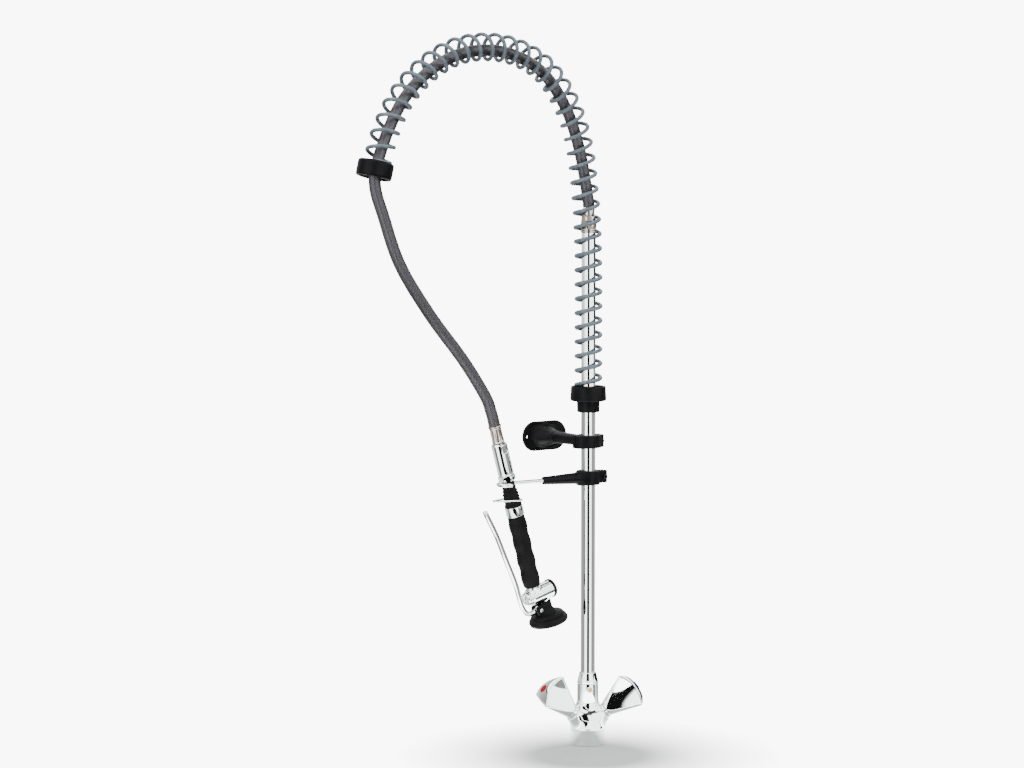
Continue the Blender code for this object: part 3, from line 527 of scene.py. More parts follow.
def local(place, p):
    """World points in a frame's own coordinates."""
    inverse = np.array(place.inverted())
    return p @ inverse[:3, :3].T + inverse[:3, 3]


def cylinder(place, radius, low, high, edge=0.0):
    def distance(p):
        q = local(place, p)
        out = np.hypot(q[:, 0], q[:, 1]) - radius + edge
        up = np.abs(q[:, 2] - (low + high) / 2) - (high - low) / 2 + edge
        inside = np.minimum(np.maximum(out, up), 0)
        return inside + np.hypot(np.maximum(out, 0), np.maximum(up, 0)) - edge

    return distance


def box(place, low, high, edge=0.0):
    middle = (np.array(low) + np.array(high)) / 2
    half = (np.array(high) - np.array(low)) / 2 - edge

    def distance(p):
        q = np.abs(local(place, p) - middle) - half
        return np.minimum(q.max(axis=1), 0) + np.linalg.norm(np.maximum(q, 0), axis=1) - edge

    return distance


def turned(place, profile):
    """Round Z inside a closed outline of (r, z)."""
    outline = np.array(filleted(profile, True))

    def distance(p):
        q = local(place, p)
        q = np.stack((np.hypot(q[:, 0], q[:, 1]), q[:, 2]), 1)
        best = np.full(len(q), np.inf)
        inside = np.zeros(len(q), bool)
        for a, b in zip(outline, np.roll(outline, -1, 0)):
            edge = b - a
            t = np.clip(((q - a) @ edge) / max(edge @ edge, 1e-18), 0, 1)
            best = np.minimum(best, np.linalg.norm(q - a - t[:, None] * edge, axis=1))
            crosses = (a[1] > q[:, 1]) != (b[1] > q[:, 1])
            rise = b[1] - a[1] if abs(b[1] - a[1]) > 1e-12 else 1e-12
            inside ^= crosses & (q[:, 0] < edge[0] * (q[:, 1] - a[1]) / rise + a[0])
        return np.where(inside, -best, best)

    return distance


def taper(place, low, high, radius_low, radius_high, squash=1.0):
    """A round bar along Z whose radius changes evenly from end to end; squash widens it along X."""

    def distance(p):
        q = local(place, p)
        t = np.clip((q[:, 2] - low) / (high - low), 0, 1)
        out = np.hypot(q[:, 0] / squash, q[:, 1]) - (radius_low + (radius_high - radius_low) * t)
        return np.maximum(out, np.abs(q[:, 2] - (low + high) / 2) - (high - low) / 2)

    return distance


def beyond(place, low, high):
    """Everything outside the heights from low to high, as a shape to cut away."""

    def distance(p):
        return (high - low) / 2 - np.abs(local(place, p)[:, 2] - (low + high) / 2)

    return distance


def blend_min(a, b, soft):
    mix = np.clip(0.5 + 0.5 * (b - a) / soft, 0, 1)
    return b + (a - b) * mix - soft * mix * (1 - mix)


def joined(first, *others, soft=0.001):
    def distance(p):
        result = first(p)
        for other in others:
            result = blend_min(result, other(p), soft)
        return result

    return distance


def without(first, *others, soft=0.0004):
    def distance(p):
        result = first(p)
        for other in others:
            result = -blend_min(-result, other(p), soft)
        return result

    return distance


def cast(node, distance, low, high, step, **more):
    """The closed surface where distance is 0 inside the box from low to high, in world coordinates."""
    lines = [np.arange(a - 2 * step, b + 3 * step, step) for a, b in zip(low, high)]
    grid = np.stack(np.meshgrid(*lines, indexing="ij"), -1)
    shape = grid.shape[:3]
    value = near_values(grid, distance, step)
    inside = value < 0
    corners = [(i, j, k) for i in (0, 1) for j in (0, 1) for k in (0, 1)]
    size = tuple(n - 1 for n in shape)

    def corner(array, offset):
        return array[tuple(slice(o, o + n) for o, n in zip(offset, size))]

    filled = sum(corner(inside, c).astype(int) for c in corners)
    cells = np.argwhere((filled > 0) & (filled < 8))
    number = np.full(size, -1)
    number[tuple(cells.T)] = np.arange(len(cells))
    total, hits = np.zeros((len(cells), 3)), np.zeros(len(cells))
    for axis in range(3):
        for first in (c for c in corners if c[axis] == 0):
            second = tuple(1 if k == axis else c for k, c in enumerate(first))
            a, b = tuple((cells + first).T), tuple((cells + second).T)
            va, vb = value[a], value[b]
            crossed = (va < 0) != (vb < 0)
            t = np.where(crossed, va / np.where(crossed, va - vb, 1), 0)[:, None]
            total += np.where(crossed[:, None], grid[a] * (1 - t) + grid[b] * t, 0)
            hits += crossed
    points = total / hits[:, None]
    faces = []
    for axis in range(3):
        others = [k for k in range(3) if k != axis]
        ahead = [slice(None)] * 3
        behind = [slice(None)] * 3
        ahead[axis], behind[axis] = slice(1, None), slice(None, -1)
        a, b = inside[tuple(behind)], inside[tuple(ahead)]
        for sign, mask in ((1, a & ~b), (-1, ~a & b)):
            where = np.argwhere(mask)
            where = where[(where[:, others] > 0).all(axis=1)]
            ring = []
            for du, dv in ((-1, -1), (0, -1), (0, 0), (-1, 0)):
                cell = where.copy()
                cell[:, others[0]] += du
                cell[:, others[1]] += dv
                ring.append(number[tuple(cell.T)])
            quad = np.stack(ring, 1)
            flip = sign if axis != 1 else -sign
            faces.append(quad if flip > 0 else quad[:, ::-1])
    faces = np.concatenate(faces)
    pairs = np.concatenate([faces[:, [k, (k + 1) % 4]] for k in range(4)])
    for _ in range(SMOOTHING_ROUNDS):
        pulled, degree = np.zeros_like(points), np.zeros(len(points))
        for a, b in (pairs.T, pairs.T[::-1]):
            for k in range(3):
                pulled[:, k] += np.bincount(a, points[b, k], len(points))
            degree += np.bincount(a, minlength=len(points))
        points = 0.5 * points + 0.5 * pulled / degree[:, None]
        points = settled(points, distance, step)
    return made(node, points, faces, **more)


def near_values(grid, distance, step, stride=4):
    """The distance at every grid point near the surface, and that of a close neighbour elsewhere."""
    coarse = distance(grid[::stride, ::stride, ::stride].reshape(-1, 3))
    coarse = coarse.reshape([-(-n // stride) for n in grid.shape[:3]])
    value = coarse
    for axis, count in enumerate(grid.shape[:3]):
        value = np.take(value, np.arange(count) // stride, axis=axis)
    near = np.abs(value) < 2.2 * stride * step
    value[near] = distance(grid[near])
    return value


def settled(points, distance, step):
    """The points, moved on to the surface along its slope."""
    for _ in range(SMOOTHING_ROUNDS):
        value = distance(points)
        slope = np.empty_like(points)
        for k in range(3):
            nudge = np.zeros(3)
            nudge[k] = 0.2 * step
            slope[:, k] = (distance(points + nudge) - distance(points - nudge)) / (0.4 * step)
        steep = np.maximum((slope**2).sum(axis=1), 0.05)
        move = (value / steep)[:, None] * slope
        points = points - np.clip(move, -step, step)
    return points


def cast_box(node, spare=0.0004):
    low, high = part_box(node)
    return [v - spare for v in low], [v + spare for v in high]


# Camera


def build_camera():
    data = bpy.data.cameras.new("camera")
    data.lens = CAMERA_LENS
    camera = bpy.data.objects.new("camera", data)
    bpy.context.scene.collection.objects.link(camera)
    level = math.cos(CAMERA_ELEVATION)
    back = Vector((
        math.sin(CAMERA_AZIMUTH) * level,
        -math.cos(CAMERA_AZIMUTH) * level,
        math.sin(CAMERA_ELEVATION),
    ))
    camera.location = CAMERA_TARGET + CAMERA_DISTANCE * back
    camera.rotation_euler = (math.pi / 2 - CAMERA_ELEVATION, 0, CAMERA_AZIMUTH)
    bpy.context.scene.camera = camera


# Hose


def build_hose():
    path = smooth_route([(x, 0.0, z) for x, z in HOSE_ROUTE], ROUTE_STEP)
    length = sum((b - a).length for a, b in zip(path, path[1:]))
    hose = sweep("hose", path, HOSE_RADIUS, 32, body="blended", unwrap=True)
    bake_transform(hose)
    tuple(path[0])
    [tuple(p) for p in path]


# Mixer


def build_mixer():
    base, socket, top = 0.0272, 0.01625, 0.0955
    outline = [
        (0.0, 0.0), (base, 0.0, 0.0012), (base, 0.026, 0.012), (0.0240, 0.040, 0.012),
        (0.0174, 0.056, 0.012), (socket, 0.066, 0.010), (socket, top, 0.0004), (0.0, top),
    ]
    arms = [cylinder(arm, 0.0140, 0.004, 0.0317, 0.0010) for arm in ARMS.values()]
    shell = joined(turned(MIXER, outline), *arms, soft=0.011)
    hollows = [cylinder(MIXER, 0.0195, -0.01, 0.016), cylinder(MIXER, RISER_BORE, 0.056, 0.12)]
    hollows += [cylinder(arm, 0.0090, 0.0172, 0.05) for arm in ARMS.values()]
    grub = MIXER @ shift(z=0.087) @ ACROSS
    hollows.append(cylinder(grub, 0.0034, 0.008, 0.03))
    low, high = cast_box("mixer_body", 0.002)
    cast("mixer_body", without(shell, *hollows, soft=0.0007), low, high, 0.00065)

    bore = RISER_BORE
    cone = [
        (socket, top + GAP, 0.0004), (socket, top + 0.0030, 0.0010), (0.0130, 0.1124, 0.0008),
        (bore, 0.1124, 0.0002), (bore, top + GAP),
    ]
    lathe("socket_cone", cone)
    recess = hexagon(0.0015)

    def socketed(r, z, angle):
        return recess(r, z, angle) if r < 0.0019 else r

    screw = [
        (0.0, 0.0099), (0.0022, 0.0099), (0.0031, 0.0108), (0.0031, 0.0156, 0.0003),
        (0.0018, 0.0156, 0.0001), (0.0018, 0.0132), (0.0, 0.0132),
    ]
    lathe("grub_screw", screw, grub, sides=36, reach=socketed)


HANDLE_TURN = {"hot": math.radians(-14.4), "cold": math.radians(202.4)}
HANDLE_START, HANDLE_RIM, HANDLE_TOP = 0.0382, 0.0862, 0.0982
HANDLE_NECK, HANDLE_REACH = 0.0118, 0.0334


def handle_section(t, angle):
    """The handle's radius at a share t of the way from neck to rim: a round that three flats cut."""
    from_flat = math.pi / 3 - abs((angle + math.pi / 3) % (TURN / 3) - math.pi / 3)
    reach = HANDLE_NECK + (HANDLE_REACH - HANDLE_NECK) * t
    flat = HANDLE_NECK + 0.0056 * t**1.4
    hollow = 1 - 0.07 * t * (1 - (3 * from_flat / math.pi) ** 2)
    cut = flat * hollow / math.cos(from_flat)
    soft = 0.0004 + 0.0012 * t
    mix = min(max(0.5 + 0.5 * (cut - reach) / soft, 0.0), 1.0)
    return cut + (reach - cut) * mix - soft * mix * (1 - mix)


def build_handle(side):
    arm = ARMS[side]
    sleeve = [
        (0.0120, 0.0321, 0.0004), (0.0120, 0.0375, 0.0006), (0.0090, 0.0375), (0.0090, 0.0321),
    ]
    lathe(side + "_sleeve", sleeve, arm)
    mark_radius = 0.0064
    sides, side_rows, end_rows = 120, 36, 18
    rows = []

    def end_height(radius):
        return HANDLE_TOP - (HANDLE_TOP - HANDLE_RIM) * (radius / HANDLE_REACH) ** 2.2

    angles = [TURN * i / sides for i in range(sides)]
    rim = [handle_section(1.0, angle) for angle in angles]
    for k in range(side_rows + 1):
        t = k / side_rows
        row = []
        for angle, edge in zip(angles, rim):
            top = end_height(edge) - 0.0006
            row.append((handle_section(t, angle), HANDLE_START + (top - HANDLE_START) * t))
        rows.append(row)
    rows.append([(edge - 0.0003, end_height(edge) - 0.0001) for edge in rim])
    for k in range(end_rows + 1):
        t = k / end_rows
        row = []
        for edge in rim:
            radius = (edge - 0.0010) * (1 - t) + (mark_radius + 0.0003) * t
            row.append((radius, end_height(radius)))
        rows.append(row)
    bore = [
        (mark_radius + 0.0002, HANDLE_TOP - 0.0010), (mark_radius + 0.0002, 0.0670),
        (0.0024, 0.0670), (0.0024, 0.0630), (0.0043, 0.0630), (0.0043, HANDLE_START),
    ]
    rows += [[ring] * sides for ring in bore]
    points, faces = [], []
    for row in rows:
        for angle, (radius, height) in zip(angles, row):
            turned_by = angle + HANDLE_TURN[side]
            points.append((radius * math.cos(turned_by), radius * math.sin(turned_by), height))
    for k in range(len(rows)):
        a, b = k * sides, (k + 1) % len(rows) * sides
        faces += [(a + i, a + (i + 1) % sides, b + (i + 1) % sides, b + i) for i in range(sides)]
    made(side + "_handle", points, faces, arm)
    mark = [
        (0.0, HANDLE_TOP - 0.0040), (mark_radius, HANDLE_TOP - 0.0040),
        (mark_radius, HANDLE_TOP + 0.0003, 0.0005),
        (0.6 * mark_radius, HANDLE_TOP + 0.0007, 0.0020), (0.0, HANDLE_TOP + 0.0008),
    ]
    lathe(side + "_index", mark, arm, sides=48)


# Riser, spring and hose ends


def build_riser():
    bottom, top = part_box("riser_tube")[0][2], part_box("riser_tube")[1][2]
    inner = RISER_RADIUS - 0.0015
    tube = [
        (RISER_RADIUS, bottom), (RISER_RADIUS, top, 0.0003), (inner, top, 0.0002), (inner, bottom),
    ]
    lathe("riser_tube", tube, sides=96)
    adapter = [
        (inner - GAP, top - 0.018), (inner - GAP, top + GAP), (0.0122, top + GAP, 0.0006),
        (0.0122, top + 0.0024, 0.0004), (0.0112, top + 0.0031, 0.0004),
        (0.0122, top + 0.0038, 0.0004), (0.0122, top + 0.0060, 0.0006), (0.0097, top + 0.0060),
        (0.0097, top + 0.0200), (0.0055, top + 0.0200), (0.0055, top - 0.018),
    ]
    lathe("riser_top_adapter", adapter)
    nut = [
        (0.0112, top + 0.0063), (0.0122, top + 0.0070), (0.0122, top + 0.0185),
        (0.0112, top + 0.0192, 0.0004), (0.0112, top + 0.0250, 0.0006),
        (0.0100, top + 0.0264, 0.0004), (0.0080, top + 0.0264), (0.0080, top + 0.0243),
        (0.0101, top + 0.0243), (0.0101, top + 0.0063),
    ]
    lathe("hose_nut", nut, reach=hexagon(0.0106), sides=96)
    ferrule = [
        (0.0084, top + 0.0222), (0.0084, top + 0.0240), (0.0066, top + 0.0240),
        (0.0066, top + 0.0268), (0.0092, top + 0.0268, 0.0004), (0.0092, top + 0.0378, 0.0006),
        (0.0045, top + 0.0378), (0.0045, top + 0.0222),
    ]
    lathe("hose_ferrule_lower", ferrule)
    bore = RISER_BORE
    seat_low, seat_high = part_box("spring_seat")[0][2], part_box("spring_seat")[1][2]
    floor = seat_high - 0.0135
    seat = [
        (0.0172, seat_low, 0.0008), (0.0178, floor - 0.0100, 0.0010),
        (0.0268, floor - 0.0090, 0.0012), (0.0280, floor - 0.0070, 0.0012),
        (0.0268, seat_high, 0.0012), (0.0232, seat_high, 0.0008), (0.0232, floor, 0.0010),
        (bore, floor), (bore, seat_low, 0.0004),
    ]
    lathe("spring_seat", seat, sides=72)
    screw = [
        (0.0, 0.01145), (0.0020, 0.01145), (0.0020, 0.0168, 0.0002),
        (0.0011, 0.0168), (0.0011, 0.0150), (0.0, 0.0150),
    ]
    lathe("seat_screw", screw, shift(z=floor - 0.0175) @ SIDEWAYS, sides=24)


def build_spring():
    leg_length, leg_pitch, arch_pitch = 0.27, 0.0221, 0.0234
    start_angle, per_turn = math.radians(-57), 26
    route = smooth_route([(x, 0.0, z) for x, z in SPRING_ROUTE], ROUTE_STEP)
    length = ROUTE_STEP * (len(route) - 1)
    leg_turns = leg_length / leg_pitch
    turns = leg_turns + (length - leg_length) / arch_pitch
    points = []
    count = round(turns * per_turn)
    for i in range(count + 1):
        turn = turns * i / count
        leg = min(turn, leg_turns)
        reach = min(leg * leg_pitch + (turn - leg) * arch_pitch, length)
        place = reach / length * (len(route) - 1)
        k = min(int(place), len(route) - 2)
        centre = route[k].lerp(route[k + 1], place - k)
        along = (route[min(k + 3, len(route) - 1)] - route[max(k - 2, 0)]).normalized()
        side = Vector((along.z, 0, -along.x))
        angle = start_angle + TURN * turn
        out = side * math.cos(angle) + Vector((0, 1, 0)) * math.sin(angle)
        points.append(centre + SPRING_RADIUS * out)
    sweep("support_spring", points, WIRE_RADIUS, 12, tips=(0.002, 0.002))

    low, high = (Vector(corner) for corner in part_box("spring_end_ring"))
    middle = (low + high) / 2
    tilt = math.radians(14.5)
    ring = [
        (0.0225, -0.0118, 0.0010), (0.0256, -0.0120, 0.0030), (0.0268, -0.0095, 0.0050),
        (0.0268, 0.0090, 0.0040), (0.0258, 0.0120, 0.0016), (0.0242, 0.0120, 0.0005),
        (0.0242, 0.0010, 0.0010), (0.0125, 0.0010, 0.0006), (0.0125, -0.0090, 0.0008),
        (0.0210, -0.0095, 0.0010),
    ]
    place = Matrix.Translation((middle.x, 0, middle.z)) @ Matrix.Rotation(tilt, 4, "Y")
    lathe("spring_end_ring", ring, place, sides=80)


# Wall bracket and hook


def stadium(place, width, height, low, high, edge):
    """A plate with round ends, as a distance: its outline lies in XZ and its thickness along Y."""
    straight = width / 2 - height / 2

    def distance(p):
        q = local(place, p)
        x = np.maximum(np.abs(q[:, 0]) - straight, 0)
        out = np.hypot(x, q[:, 2]) - height / 2 + edge
        deep = np.abs(q[:, 1] - (low + high) / 2) - (high - low) / 2 + edge
        inside = np.minimum(np.maximum(out, deep), 0)
        return inside + np.hypot(np.maximum(out, 0), np.maximum(deep, 0)) - edge

    return distance


def build_bracket():
    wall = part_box("wall_bracket")[1][1]
    height = (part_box("wall_bracket")[0][2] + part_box("wall_bracket")[1][2]) / 2
    place = shift(z=height)
    front, half, split = wall - 0.0048, 0.0100, 0.0006
    ear, ear_depth, screw_at = 0.0255, 0.0075, 0.0215
    plate = stadium(place, 0.086, 0.0465, front, wall, 0.0014)
    rim = stadium(place, 0.078, 0.0385, front - 0.01, front + 0.0010, 0.0010)
    plate = without(plate, rim, soft=0.0010)
    forward = place @ Matrix.Rotation(math.pi / 2, 4, "X")
    boss = taper(forward, -front - 0.002, -(front - 0.026), 0.0185, 0.0090, squash=1.30)
    neck = taper(forward, -(front - 0.014), -0.012, 0.0096, 0.0082, squash=1.12)
    body = joined(plate, boss, neck, soft=0.004)
    collar = cylinder(place, CLAMP_RADIUS, -half, half, 0.0012)
    ears = box(place, (-ear, 0.0, -half), (ear, ear_depth, half), 0.0014)
    body = joined(body, joined(collar, ears, soft=0.003), soft=0.005)
    screws = [cylinder(place @ shift(x=x) @ ACROSS, 0.0018, -0.012, 0.02) for x in (-screw_at, screw_at)]
    holes = [cylinder(place @ shift(x=x, y=wall) @ ACROSS, 0.0022, -0.01, 0.02) for x in (-0.034, 0.034)]
    bore = cylinder(place, RISER_BORE, -0.02, 0.02)
    front_half = box(place, (-0.04, -0.04, -0.03), (0.04, split, 0.03))
    low, high = cast_box("wall_bracket")
    cast("wall_bracket", without(body, bore, front_half, *holes, *screws), low, high, 0.0009)

    cap_ears = box(place, (-ear, -ear_depth, -half), (ear, 0.0, half), 0.0014)
    cap = joined(collar, cap_ears, soft=0.012)
    back_half = box(place, (-0.04, -split, -0.03), (0.04, 0.04, 0.03))
    low, high = cast_box("bracket_cap", 0.0010)
    ends = beyond(place, -half, half)
    cast("bracket_cap", without(cap, bore, back_half, ends, *screws, soft=0.0008), low, high, 0.0007)
    for node, x in (("bracket_screw_left", -screw_at), ("bracket_screw_right", screw_at)):
        cap_screw(node, place @ shift(x=x, y=-0.0078) @ ACROSS, 0.0030, 0.0022, 0.0015, 0.0135)


def cap_screw(node, place, head_radius, head, shank, length):
    """A domed screw with a hexagonal socket; its head's top is at Z = head."""
    socket = 0.5 * head_radius
    recess = hexagon(socket * 0.87)
    profile = [
        (0.0, -length), (shank - 0.0003, -length), (shank, -length + 0.0004), (shank, 0.0),
        (head_radius, 0.0, 0.0002), (head_radius, head, 0.0007), (socket * 1.15, head, 0.0002),
        (socket, head - 0.0003), (socket, 0.4 * head), (0.0, 0.4 * head),
    ]

    def reach(r, z, angle):
        return recess(r, z, angle) if r <= socket and z > 0 else r

    lathe(node, profile, place, sides=36, reach=reach)


def build_hook():
    low, high = (Vector(corner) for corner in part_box("hook_clamp"))
    height = (low.z + high.z) / 2
    yaw = math.radians(174.7)
    place = shift(z=height)
    arm_place = place @ Matrix.Rotation(yaw, 4, "Z") @ SIDEWAYS
    half, arm_length, rod_radius, screw_at = 0.0109, 0.083, 0.003, 0.027
    ring = cylinder(place, CLAMP_RADIUS, -half, half, 0.0012)
    arm = taper(arm_place, 0.006, arm_length, 0.0097, 0.0060)
    ears = box(place, (0.010, -0.0070, -half + 0.001), (0.0335, 0.0070, half - 0.001), 0.0022)
    body = joined(joined(ring, arm, soft=0.008), ears, soft=0.003)
    cuts = [
        cylinder(place, RISER_BORE, -0.02, 0.02),
        box(place, (0.008, -0.0012, -0.02), (0.04, 0.0012, 0.02)),
        cylinder(arm_place, rod_radius + GAP, arm_length - 0.020, arm_length + 0.01),
        cylinder(place @ shift(x=screw_at) @ ACROSS, 0.0022, -0.02, 0.02),
    ]
    box_low, box_high = cast_box("hook_clamp")
    cast("hook_clamp", without(body, *cuts), box_low, box_high, 0.0007)
    cap_screw("hook_screw", place @ shift(x=screw_at, y=-0.0073) @ ACROSS, 0.0038, 0.0030, 0.0019, 0.0130)

    bend, centre = 0.0147, Vector((-0.157, 0, 0))
    first, last = yaw - math.pi / 2, math.radians(262)
    direction = Vector((math.cos(yaw), math.sin(yaw), 0))
    begin = direction * (arm_length - 0.0197)
    path = []
    touch = centre + bend * Vector((math.cos(first), math.sin(first), 0))
    for k in range(20):
        path.append(begin.lerp(touch, k / 20))
    for k in range(49):
        angle = first + (last - first) * k / 48
        path.append(centre + bend * Vector((math.cos(angle), math.sin(angle), 0)))
    sweep("hook_rod", path, rod_radius, 20, place, tips=(0.0, 0.0022))


# Spray gun, in its own frame: Z runs up along it from its hose end and X points to the riser


def build_neck():
    def crimped(r, z, angle):
        if -0.0235 < z < -0.0045 and r > 0.008:
            return r * (1 - 0.035 * max(0.0, math.cos(8 * angle)) ** 3)
        return r

    ferrule = [
        (0.0098, -0.0002, 0.0006), (0.0102, -0.0016, 0.0010), (0.0098, -0.0032, 0.0008),
        (0.0090, -0.0042, 0.0006), (0.0090, -0.0100), (0.0090, -0.0170), (0.0092, -0.0240, 0.0006),
        (0.0097, -0.0252, 0.0005), (0.0092, -0.0264, 0.0005), (0.0080, -0.0280, 0.0004),
        (0.0045, -0.0280), (0.0045, -0.0002),
    ]
    lathe("gun_ferrule", ferrule, GUN, reach=crimped, sides=96)

    def flatted(r, z, angle):
        if -0.0441 < z < -0.0319:
            return min(r, 0.0110 / max(abs(math.sin(angle)), 1e-6))
        return r

    sleeve = [
        (0.0098, -0.0284), (0.0121, -0.0306, 0.0012), (0.0121, -0.03185), (0.0121, -0.0320),
        (0.0121, -0.0440), (0.0121, -0.04415), (0.0121, -0.0740), (0.0121, -0.0768, 0.0005),
        (0.0114, -0.0776, 0.0005), (0.0121, -0.0784, 0.0005), (0.0121, -0.0797, 0.0004),
        (GUN_BORE, -0.0797), (GUN_BORE, -0.0580), (0.0045, -0.0580), (0.0045, -0.0284),
    ]
    lathe("swivel_sleeve", sleeve, GUN, reach=flatted, sides=96)
    ring = [
        (0.0121, -0.0801, 0.0003), (0.0133, -0.0811), (0.0133, -0.0870), (0.0121, -0.0880, 0.0003),
        (0.0072, -0.0880), (0.0072, -0.0801),
    ]
    lathe("lock_ring", ring, GUN, reach=hexagon(0.01152), sides=96)
    neck = [(GUN_BORE, -0.1298), (GUN_BORE, -0.0883), (0.0097, -0.0883, 0.0004), (0.0098, -0.0975, 0.0020)]
    for k in range(5):
        height = -0.1015 - 0.0052 * k
        radius = min(0.0104 + 0.00055 * k * 1.6, 0.0123)
        neck.append((radius + 0.0004, height + 0.0016, 0.0009))
        neck.append((radius - 0.0004, height - 0.0010, 0.0007))
    neck += [(0.0123, -0.1262, 0.0005), (0.0132, -0.1272, 0.0005), (0.0132, -0.1298, 0.0006)]
    lathe("neck_collar", neck, GUN, sides=72)
    band = [
        (0.0137, -0.1301, 0.0004), (GUN_BORE, -0.1301), (GUN_BORE, -0.1449),
        (0.0137, -0.1449, 0.0004),
    ]
    lathe("chrome_band", band, GUN, sides=96)


def build_grip():
    top, bottom = -0.1452, -0.2613
    rows, sides = 90, 72
    points, faces = [], []

    def outer(z, angle):
        wave = math.sin(TURN * (z + 0.1690) / 0.0280)
        grooved = 0.00075 * wave * abs(math.cos(angle)) ** 1.2
        panel = -0.00050 * max(0.0, math.cos(4 * (angle - math.pi / 4))) ** 6
        ends = 0.0016 * (math.exp(-((top - z) / 0.0011)) + math.exp(-((z - bottom) / 0.0011)))
        return 0.01365 + grooved + panel - ends

    for k in range(rows + 1):
        t = k / rows
        eased = 0.5 - 0.5 * math.cos(math.pi * t)
        z = top + (bottom - top) * (0.7 * t + 0.3 * eased)
        for i in range(sides):
            angle = TURN * i / sides
            r = outer(z, angle)
            points.append((r * math.cos(angle), r * math.sin(angle), z))
    for z in (bottom, top):
        for i in range(sides):
            angle = TURN * i / sides
            points.append((GUN_BORE * math.cos(angle), GUN_BORE * math.sin(angle), z))
    total = rows + 3
    for k in range(total):
        a, b = k * sides, (k + 1) % total * sides
        faces += [(a + i, b + i, b + (i + 1) % sides, a + (i + 1) % sides) for i in range(sides)]
    made("grip", points, faces, GUN)


def build_valve():
    depth, left, right, radius = 0.277, -0.0140, 0.0300, 0.0133
    axis = GUN @ shift(z=-depth) @ SIDEWAYS
    outlet = GUN @ shift(x=0.015)
    barrel = [
        (0.0, left), (0.0112, left, 0.0005), (0.0112, left + 0.0030, 0.0010),
        (radius, left + 0.0050, 0.0012), (radius, right, 0.0004), (0.0, right),
    ]
    shell = joined(
        turned(axis, barrel),
        cylinder(GUN, 0.0100, -depth, -0.2616, 0.0006),
        cylinder(outlet, 0.0086, -0.2925, -depth),
        soft=0.004,
    )
    hollows = [
        cylinder(axis, 0.0064, left - 0.01, left + 0.0050),
        cylinder(axis, 0.0034, left, 0.0),
        cylinder(axis, 0.0090, -0.0040, right + 0.01),
        cylinder(GUN, 0.0072, -0.2685, -0.25),
        cylinder(outlet, 0.0050, -0.30, -0.277),
    ]
    low, high = cast_box("valve_body", 0.0012)
    cast("valve_body", without(shell, *hollows), low, high, 0.0005)
    cap = [
        (0.0, right - 0.0060), (0.0085, right - 0.0060), (0.0085, right + GAP),
        (0.0145, right + GAP, 0.0005), (0.0147, right + 0.0022, 0.0010),
        (0.0142, right + 0.0046, 0.0020), (0.0095, right + 0.0055, 0.0030), (0.0, right + 0.0055),
    ]
    lathe("valve_cap", cap, axis, sides=64)
    nut = [
        (0.0090, left - 0.0048, 0.0006), (0.0105, left - 0.0030, 0.0008),
        (0.0105, left - GAP, 0.0004), (0.0061, left - GAP), (0.0061, left + 0.0024),
        (0.0034, left + 0.0024), (0.0034, left - 0.0030, 0.0004), (0.0058, left - 0.0030, 0.0005),
        (0.0062, left - 0.0048, 0.0004),
    ]
    lathe("packing_nut", nut, axis, sides=64)
    plunger = [
        (0.0, -0.0237), (0.0026, -0.0233, 0.0008), (0.0030, -0.0222, 0.0004), (0.0030, 0.0040),
        (0.0064, 0.0040), (0.0064, 0.0070), (0.0, 0.0070),
    ]
    lathe("plunger", plunger, axis, sides=32)
    coils, coil_radius, start, end = 6, 0.0055, 0.0110, 0.0231
    turns = [TURN * i / 20 for i in range(coils * 20 + 1)]
    pitch = (end - start) / (TURN * coils)
    helix = [(coil_radius * math.cos(a), coil_radius * math.sin(a), start + a * pitch) for a in turns]
    spring = sweep("valve_spring", [Vector(p) for p in helix], 0.0006, 10, axis)
    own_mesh(spring)


def build_lever():
    pivot = Vector(joint("lever_squeeze")["pos_m"])
    place = GUN.copy()
    place.translation = pivot
    eye_place = place @ ACROSS
    route = [
        (-0.0548, 0.1830), (-0.0443, 0.1403), (-0.0373, 0.0969), (-0.0307, 0.0566),
        (-0.0289, 0.0279), (-0.0275, 0.0130), (-0.0231, 0.0035), (-0.0151, -0.0002),
        (-0.0055, -0.0002),
    ]
    path = smooth_route([(x, 0.0, z) for x, z in route], 0.0025)
    sweep("lever", path, 0.004, 24, place, tips=(0.004, 0.0))
    eye = [
        (0.0062, -0.0039, 0.0006), (0.0062, 0.0039, 0.0006),
        (0.0034, 0.0039, 0.0003), (0.0034, -0.0039, 0.0003),
    ]
    lathe("lever", eye, eye_place, sides=40, name="fine_lever_eye")
    pin = [(0.0, -0.0098), (0.0030, -0.0098, 0.0008), (0.0030, 0.0098, 0.0008), (0.0, 0.0098)]
    lathe("pivot_pin", pin, eye_place, sides=32)


def build_hold_open_ring():
    centre = Vector(joint("hold_open_flip")["pos_m"])
    ring, wire, nose, nose_radius = 0.0153, 0.0013, 0.034, 0.0068
    opening, turn = math.radians(118), math.radians(112)
    path = []
    for k in range(61):
        angle = -opening + 2 * opening * k / 60
        path.append((ring * math.cos(angle), ring * math.sin(angle), 0))
    for k in range(31):
        angle = turn + (TURN - 2 * turn) * k / 30
        path.append((-nose + nose_radius * (1 + math.cos(angle)), nose_radius * math.sin(angle), 0))
    sweep("hold_open_ring", path, wire, 14, Matrix.Translation(centre), closed=True)


